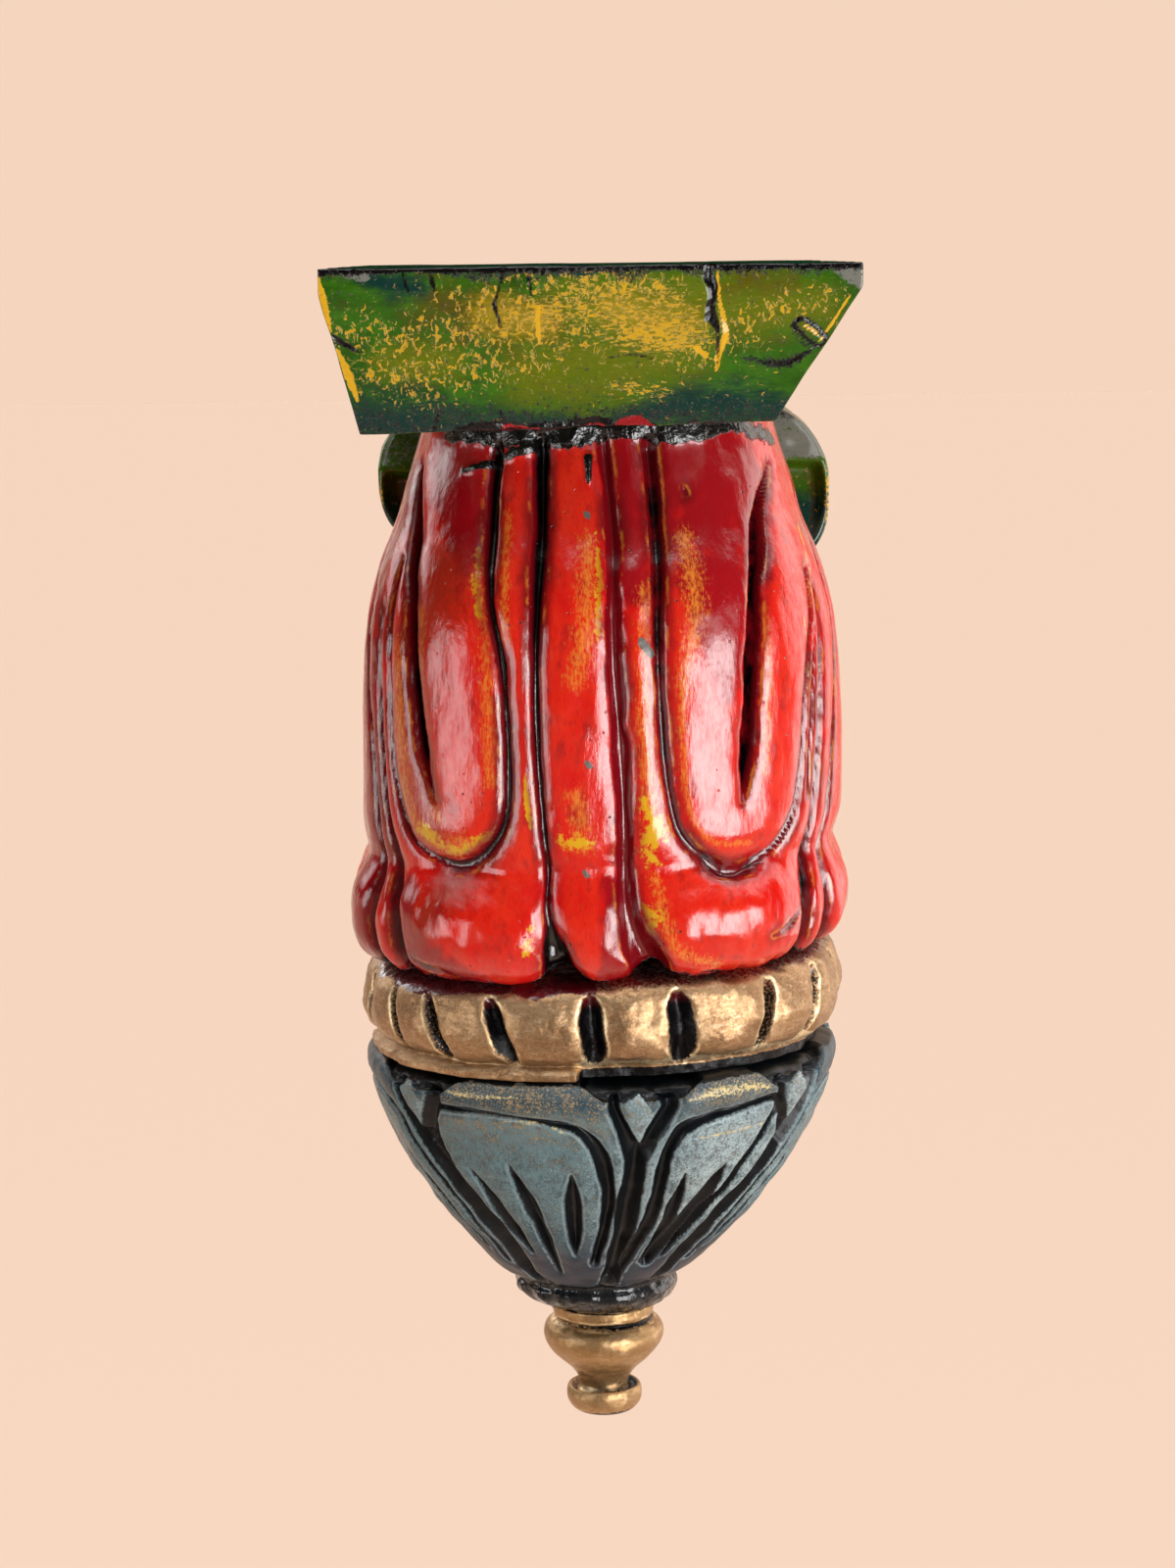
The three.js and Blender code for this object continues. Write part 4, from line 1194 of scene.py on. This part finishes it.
def make_ring(material):
    drops = np.concatenate([RING_UPPER, RING_LOWER])
    drop, angle, points, normals = surface_rows(ring_surface, drops, RING_COLUMNS, RING_CROWDING)

    last, first = FRONT_CUTS[-1][0], FRONT_CUTS[0][0]
    spacing = (360 - (last - first)) / (HIDDEN_CUTS + 1)
    hidden = [(last + spacing * (i + 1), *HIDDEN_CUT) for i in range(HIDDEN_CUTS)]
    carving = Carving(ring_surface, points, seed=70)
    for angle_at, width, slant, ink in FRONT_CUTS + hidden:
        path = [(at, angle_at + slant * lean, width * share) for at, lean, share in CUT_SPOTS]
        carving.gouge(path, ink=ink, depth=0.95, deepest=CUT_DEPTH)

    on_ledge = smooth_step(angle, LEDGE["from"] - 1.5, LEDGE["from"] + 1.5)
    on_ledge *= smooth_step(angle, LEDGE["to"] + 0.9, LEDGE["to"] - 0.9)
    ledge_rows = smooth_step(drop, 196.5, 197) * smooth_step(drop, 199.7, 199.3)
    rise = -carving.cut - carving.shoulder(*RING_SHOULDER) * smooth_step(drop, LEDGE["drop"], 195)
    rise += 0.65 * noise(points, 6.5, 71, 1) + 0.18 * noise(points, 2.2, 72, 2) - 0.3
    rise += on_ledge * ledge_rows * LEDGE["reach"]
    off_ledge = smooth_step(drop, 196.2, 196.8) * (1 - on_ledge)
    drips = smooth_step(drop + 1.2 * noise(points, 6, 73, 2), 178.2, 176.4)
    drips *= smooth_step(angle, 2, -4) * smooth_step(angle, -80, -62)
    # Painted highlight: a pale gold glint band along the ring's lower edge, on the right, where the light
    # falls
    bright = 0.85 * smooth_step(drop, 194.4, 195.6) * smooth_step(drop, 196.9, 196.2)
    fields = {
        "edge": carving.edge,
        "ink": carving.ink,
        "soot_and_shade": np.maximum.reduce([
            1.1 * drips, 0.62 * smooth_step(drop, 178, 175.6),
            1.2 * off_ledge * smooth_step(drop, 197, 197.8),
        ]),
        "maroon": smooth_step(drop, 181, 178),
        "turned": 0,
        "bright": bright * smooth_step(angle, -12, -4),
    }
    carved = points + normals * rise[:, None]
    return make_rows("knob_ring", (len(drops), RING_COLUMNS), carved, fields, material)


# Lotus cup

PETAL_GAPS = [(-49, -37), (9, 8), (52, 39), (101, 88), (152, 145), (204, 205), (256, 264)]
GAP_DROPS = (214, 256)
GAP_LINE = [(219, 5.4), (228, 6.4), (240, 6.6), (251, 6.2), (263, 5)]
CHANNELS = [
    [(202.5, -6.6, 2.6), (206.5, -6.4, 3), (210, -5.2, 3.4), (216, -2.6, 4.4), (221, -0.4, 5)],
    [(202.5, 5.6, 4), (206.5, 6.6, 4.4), (210, 5.4, 4.8), (216, 2.6, 5), (221, 0.4, 5)],
]
KITE = [(205.6, -4.6), (202.4, -0.8), (208.4, 3), (218, -0.2)]
LEFT_INNER = [
    (258, -32.9, 1), (244, -35.7, 2.6), (232, -40.7, 2.9), (221.5, -43.7, 2.9), (214, -43.5, 2.6),
    (209.4, -42, 2.4), (208.6, -37, 1.9), (208.6, -29, 0.9), (209.4, -20, 0.8), (210.6, -13, 1.4),
    (212.8, -6, 2.9), (218, -1.4, 3.6), (225, 1, 3.8), (234, 2.4, 3.8), (244, 1.4, 3.4), (255, -1.2, 2.2),
]
RIGHT_INNER = [
    (258, 11.5, 2.4), (243, 15.8, 3.8), (234, 16.6, 4.1), (223, 16.4, 4.3), (217.4, 17.6, 4.3),
    (213.2, 20, 4.1),
    (211, 25, 3.1), (209.4, 33, 1.9), (208, 43, 2.2), (210.4, 45, 2.6), (218, 43, 2.6), (229, 38.4, 2.4),
    (244, 33, 1.4),
]
LEFT_VEINS = [
    [(226, -36, 0.5), (233, -33.4, 3.1), (243, -30.4, 3.4), (252, -27.4, 0.8)],
    [(223.5, -24.2, 0.5), (231, -22.4, 3.6), (242, -20, 3.8), (259, -18.4, 0.8)],
    [(226, -8, 0.5), (233, -8, 4.3), (244, -8.6, 4.6), (252, -9.2, 0.6)],
]
RIGHT_VEINS = [
    [(226.5, 23, 0.5), (234, 22.8, 3.4), (245, 22.6, 3.6), (255, 20, 1.9)],
    [(225, 34.5, 0.5), (231, 32.4, 4.6), (243, 28.4, 5), (256, 22.5, 2.4)],
    [(226, 41, 0.5), (233, 37.4, 3.1), (245, 32, 3.4), (254, 28.5, 1.2)],
]
PETAL_LINE = [(257, 9.5, 1.6), (236, 7, 2.6), (220, 8, 2.8), (214, 10, 2.6), (210, 15, 2.2), (208.6, 21, 1.4)]
VEIN_SHARES = (0.3, 0.5, 0.7)
STRAW_MARKS = [
    [(205.4, 20, 1.8), (203.8, 26, 6.5), (203.6, 34, 6.1), (204.6, 41, 2.9)],
    [(216, 24, 1.1), (215.2, 32, 2.5), (214.6, 42, 1.8)],
    [(203.4, -40, 1.8), (204, -30, 2.5), (203.6, -20, 1.8)],
    [(210.2, -24, 1.1), (210.8, -14, 2.5), (213.6, -9, 1.4)],
]
CUP_COLUMNS = 520
CUP_ROWS = 172
CUP_CROWDING = 0.33
CUP_SHOULDER = (0.7, 1.4)
GAP_DEPTH = 3.4
CHANNEL_DEPTH = 2.8
LINE_DEPTH = 2.4
HIDDEN_DEPTH = 2
FACET = {"top": 200.4, "height": 4.6, "half": 15, "full": 8}


def cup_surface(drop, angle):
    rounder = smooth_step(drop, *CUP_ROUNDS)
    power = CUP_POWER + (2 - CUP_POWER) * rounder
    return place(drop, angle, curve_value(CUP_OUTLINE, drop) * squareness(angle, power))


def gap_angle(gap, drop):
    return gap[0] + (gap[1] - gap[0]) * smooth_step(drop, *GAP_DROPS)


def petal_paths(gap, next_gap):
    """The inner line and the veins of a petal between two gaps."""
    def at(drop, share, inset=0.0):
        start, end = gap_angle(gap, drop), gap_angle(next_gap, drop)
        return start + (end - start) * share + (inset if share < 0.5 else -inset)
    left = [(drop, at(drop, 0, inset), width) for drop, inset, width in PETAL_LINE]
    right = [(drop, at(drop, 1, inset), width) for drop, inset, width in reversed(PETAL_LINE)]
    veins = [
        [(226, at(226, s), 0.5), (233, at(233, s), 3), (244, at(244, s), 3.2), (254, at(254, s), 0.8)]
        for s in VEIN_SHARES
    ]
    return [left + right, *veins]


def inside_outline(drop, angle, outline):
    """Which places lie inside a closed outline of (drop, angle) corners."""
    inside = np.zeros(len(drop), bool)
    for (d0, a0), (d1, a1) in zip(outline, outline[1:] + outline[:1]):
        crosses = (d0 > drop) != (d1 > drop)
        with np.errstate(divide="ignore", invalid="ignore"):
            inside ^= crosses & (angle < (a1 - a0) * (drop - d0) / (d1 - d0) + a0)
    return inside


def make_cup(material):
    drops = np.concatenate([[200, 200.3, 200.7], np.linspace(201.2, CUP_OUTLINE[-1][0], CUP_ROWS - 3)])
    drop, angle, points, normals = surface_rows(cup_surface, drops, CUP_COLUMNS, CUP_CROWDING)
    carving = Carving(cup_surface, points, seed=90)
    gaps = PETAL_GAPS + [(PETAL_GAPS[0][0] + 360, PETAL_GAPS[0][1] + 360)]
    facets = np.zeros(len(points))
    kites = np.zeros(len(points), bool)
    for index, gap in enumerate(PETAL_GAPS):
        carving.gouge([(at, gap_angle(gap, at), width) for at, width in GAP_LINE], deepest=GAP_DEPTH)
        for channel in CHANNELS:
            carving.gouge([(at, gap[0] + away, width) for at, away, width in channel], deepest=CHANNEL_DEPTH)
        if index > 1:
            for path in petal_paths(gap, gaps[index + 1]):
                carving.gouge(path, deepest=HIDDEN_DEPTH)
        away = half_turned(angle - gap[0])
        limit = FACET["top"] + FACET["height"] * smooth_step(np.abs(away), FACET["half"], FACET["full"])
        facets = np.maximum(facets, smooth_step(drop - limit, 0.5, -0.5) * (np.abs(away) < FACET["half"]))
        kites |= inside_outline(drop, away, KITE)
    for path in [LEFT_INNER, RIGHT_INNER, *LEFT_VEINS, *RIGHT_VEINS]:
        carving.gouge(path, deepest=LINE_DEPTH)
    facets = facets * (1 - kites)

    collar = smooth_step(drop + 0.8 * noise(points, 6, 91, 2), 262.6, 264.6)
    top_rim = smooth_step(drop, 212, 203)
    seen_left = np.exp(-(((angle + 20) / 34) ** 2))
    seen_right = np.exp(-(((angle - 36) / 16) ** 2))
    above_rim = smooth_step(drop + 0.8 * noise(points, 4, 92, 2), 201.8, 200.8)
    # Paler along the petals' top edges
    pale_top = smooth_step(drop, 205, 202.6) * (1 - facets)
    fields = {
        "edge": carving.edge,
        "soot_and_shade": np.maximum.reduce([
            # The last term is painted shade: darker towards the cup's foot, which faces down
            1.2 * collar, 1.2 * facets, 0.9 * above_rim, 0.3 * smooth_step(drop, 246, 262),
        ]),
        "pale": 0.3 + 0.4 * seen_right + 0.2 * np.sin(np.radians(angle * 3)) + 0.2 * kites + 0.8 * pale_top,
        # The last term is painted shade: deeper stipple towards the foot
        "stipple": 0.46 + 0.4 * top_rim * (1 - kites) + 0.45 * smooth_step(drop, 236, 260),
        "ochre": 0.18 + 0.22 * seen_left * smooth_step(drop, 226, 208)
        + 0.2 * seen_right * smooth_step(drop, 212, 205),
        "straw": 1.1 * carving.strokes(STRAW_MARKS) - 0.45,
        # Painted shade: a dark lilac towards the foot
        "foot_shade": 1.1 * smooth_step(drop, 246, 259),
        "gloss": collar,
    }

    petal_top = smooth_step(carving.edge, -0.2, 1.4)
    rise = -carving.cut - carving.shoulder(*CUP_SHOULDER)
    rise += 0.3 * noise(points, 6, 93, 2) - 0.25
    chop = np.abs(noise(points, 7, 94)) + 0.5 * np.abs(noise(points, 3.2, 95))
    rise -= facets * (0.9 + 1.2 * chop)
    rise += 0.5 * petal_top * smooth_step(drop, 214, 206) * (1 - facets)
    rise -= 0.6 * collar * np.abs(noise(points, 5, 96, 2))
    carved = points + normals * rise[:, None]
    return make_rows("lotus_petal_cup", (CUP_ROWS, CUP_COLUMNS), carved, fields, material)


# Finial

FINIAL_OUTLINE = [
    (13.2, 274.6), (13.6, 275.2), (13.7, 276.6), (13.4, 277.8), (12.9, 278.4), (13.5, 279), (14.7, 279.8),
    (15.8, 281), (16.3, 282.6), (16.2, 284.4), (15.4, 286.2), (14.1, 288), (12.3, 289.8), (10.2, 291.6),
    (8.6, 293.2), (7.5, 294.8), (6.8, 296.4), (6.6, 297.8), (6.9, 298.7), (7.6, 299), (8.2, 298.6),
    (8.6, 298),
    (9.2, 297.7), (9.7, 298), (10.1, 299), (10.2, 300.4), (9.9, 302), (9, 303.5), (7.6, 304.5),
    (5.8, 304.9),
]
CREASE = {"drop": 278.5, "outer": 14.4}
DISH = {"drop": 297.4, "radius": 7.9, "outer": 9}
FINIAL_COLUMNS = 128
FINIAL_STEPS = 4


def make_finial(material):
    outline = smooth_path(FINIAL_OUTLINE, FINIAL_STEPS)
    turn = np.radians(np.arange(FINIAL_COLUMNS) * 360 / FINIAL_COLUMNS)
    radius = outline[:, :1]
    height = np.repeat(MOUNT_DROP - outline[:, 1:], FINIAL_COLUMNS, 1)
    grid = np.stack([radius * np.sin(turn), AXIS_Y - radius * np.cos(turn), height], -1)
    points = grid.reshape(-1, 3)
    drop = MOUNT_DROP - points[:, 2]
    ring = np.hypot(points[:, 0], points[:, 1] - AXIS_Y)
    right = smooth_step(points[:, 0], -9, 4)
    crease = np.abs(drop - CREASE["drop"] - 0.2 * noise(points, 6, 103))
    crease = crease - 0.1 - 0.4 * right - 0.35 * noise(points, 3, 102)
    on_dish = (ring < DISH["outer"]) & (drop > DISH["drop"])
    dish = np.where(on_dish, np.abs(ring - DISH["radius"]) - 0.5 - 0.7 * right, FAR)
    fields = {
        "edge": np.minimum(np.where(ring < CREASE["outer"], crease, FAR), dish),
        "ink": 0.5 + 0.6 * right,
        "soot_and_shade": 0.9 * smooth_step(drop, 275.2, 274.6),
        "maroon": 0,
        "turned": 1,
        "bright": 0,
    }
    rise = (0.16 * noise(points / (1.5, 1.5, 1), 5, 101, 2) - 0.15) * smooth_step(drop, 274.6, 276)
    rise *= smooth_step(drop, 304.9, 303)
    carved = points + row_normals(grid).reshape(-1, 3) * rise[:, None]
    return make_rows("turned_finial", grid.shape[:2], carved, fields, material)


# Camera, light and floor

CAMERA = {"x": -2.55, "y": -982, "above_shelf": 3, "pitch": 8.99, "roll": 0.7, "lens": 77.2, "sensor": 36}
FLOOR_DROP = 2600
BACKDROP = paint(245, 213, 190)
FLOOR_PAINT = paint(248, 227, 210)
# Painted shade: the floor's colour in front of the part
DIM_FLOOR_PAINT = paint(140, 128, 118)
FLOOR_DIMS = (-5.0, 0.5)
FLOOR_HALF = 60
ROOM_LIGHT = 0.1
BACKDROP_LIGHT = 1.0
CEILING_LIGHT = 1.56
LEFT_SHADE = 0.18
# Where the backdrop, the left shade and the ceiling start and end, as parts of the way to look
BACKDROP_START = (-0.03, 0.13)
LEFT_SHADE_END = (-0.75, -0.3)
CEILING_START = (0.58, 0.88)


def make_camera():
    data = bpy.data.cameras.new("camera")
    data.lens = CAMERA["lens"]
    data.sensor_width = CAMERA["sensor"]
    camera = add_object("camera", data)
    spot = Vector((CAMERA["x"], CAMERA["y"], MOUNT_DROP + CAMERA["above_shelf"])) * MM
    tilt = Matrix.Rotation(math.radians(90 - CAMERA["pitch"]), 4, "X")
    roll = Matrix.Rotation(math.radians(-CAMERA["roll"]), 4, "Z")
    camera.matrix_world = Matrix.Translation(spot) @ tilt @ roll
    bpy.context.scene.camera = camera


# Name, azimuth and elevation in degrees, distance, width and height in metres, and power
LIGHTS = [
    ("key", 38, -7, 1.3, 0.85, 0.8, 17),
    ("key glow", 42, -3, 1.35, 1.2, 1.0, 5.5),
    ("side", 114, 6, 1.3, 0.85, 1.5, 7),
    ("fill", -60, 0, 1.4, 0.75, 0.62, 5.2),
    ("left window", -128, 22, 1.4, 1.3, 0.42, 4.6),
    ("right window", 92, 44, 1.4, 0.8, 0.4, 2),
    ("top", 8, 66, 1.5, 1.2, 0.8, 8),
]


def make_light(name, azimuth, elevation, distance, width, height, power):
    data = bpy.data.lights.new(name, "AREA")
    data.shape = "RECTANGLE"
    data.size = width
    data.size_y = height
    data.energy = power
    light = add_object(name, data)
    turn, lift = math.radians(azimuth), math.radians(elevation)
    target = Vector((0, AXIS_Y, MOUNT_DROP - HEIGHT / 2)) * MM
    away = Vector((math.sin(turn) * math.cos(lift), -math.cos(turn) * math.cos(lift), math.sin(lift)))
    light.location = target + away * distance
    light.rotation_euler = away.to_track_quat("Z", "Y").to_euler()


def make_world():
    """A pale backdrop behind the part, shaded far to the left, a dim room in front and a bright ceiling."""
    world = bpy.data.worlds.new("studio")
    world.use_nodes = True
    graph = Graph(world.node_tree)
    x, y, z = graph.split(graph.node("TexCoord", output="Generated"))
    lit = y.step(*BACKDROP_START, ROOM_LIGHT, BACKDROP_LIGHT) * x.step(*LEFT_SHADE_END, LEFT_SHADE, 1.0)
    backdrop = graph.nodes["Background"]
    graph.put(backdrop.inputs["Color"], BACKDROP)
    graph.put(backdrop.inputs["Strength"], lit)
    ceiling = graph.node("Background", Strength=z.step(*CEILING_START, 0.0, CEILING_LIGHT))
    both = graph.nodes.new("ShaderNodeAddShader")
    graph.links.new(backdrop.outputs[0], both.inputs[0])
    graph.put(both.inputs[1], ceiling)
    graph.links.new(both.outputs[0], graph.nodes["World Output"].inputs["Surface"])
    bpy.context.scene.world = world


def make_floor():
    """A pale floor, painted dimmer in front of the part as painted shade, where the room is dim too."""
    look = Look("floor", DIM_FLOOR_PAINT, Roughness=0.95, Specular_IOR_Level=0.0)
    look.cover(FLOOR_PAINT, look.split(look.place)[1].step(*FLOOR_DIMS))
    height = (MOUNT_DROP - FLOOR_DROP) * MM
    corners = np.array([(-1, -1, 0), (1, -1, 0), (1, 1, 0), (-1, 1, 0)]) * FLOOR_HALF + (0, 0, height)
    make_piece("floor", corners, [(0, 1, 2, 3)], {}, look.done())


make_camera()
make_world()
make_floor()
for light in LIGHTS:
    make_light(*light)
bpy.context.scene.view_settings.view_transform = "Standard"
red, green, gold, blue = red_paint(), green_paint(), gold_paint(), blue_paint()
finish_piece(make_shelf(green), "shelf")
body = make_bud(red)
join_to(body, [make_web(green)] + [make_roll(roll, green) for roll in SCROLLS])
finish_piece(body, "carved_body")
finish_piece(make_ring(gold), "bead_ring")
finish_piece(make_cup(blue), "lotus_cup")
finish_piece(make_finial(gold), "finial")

bpy.context.view_layer.update()
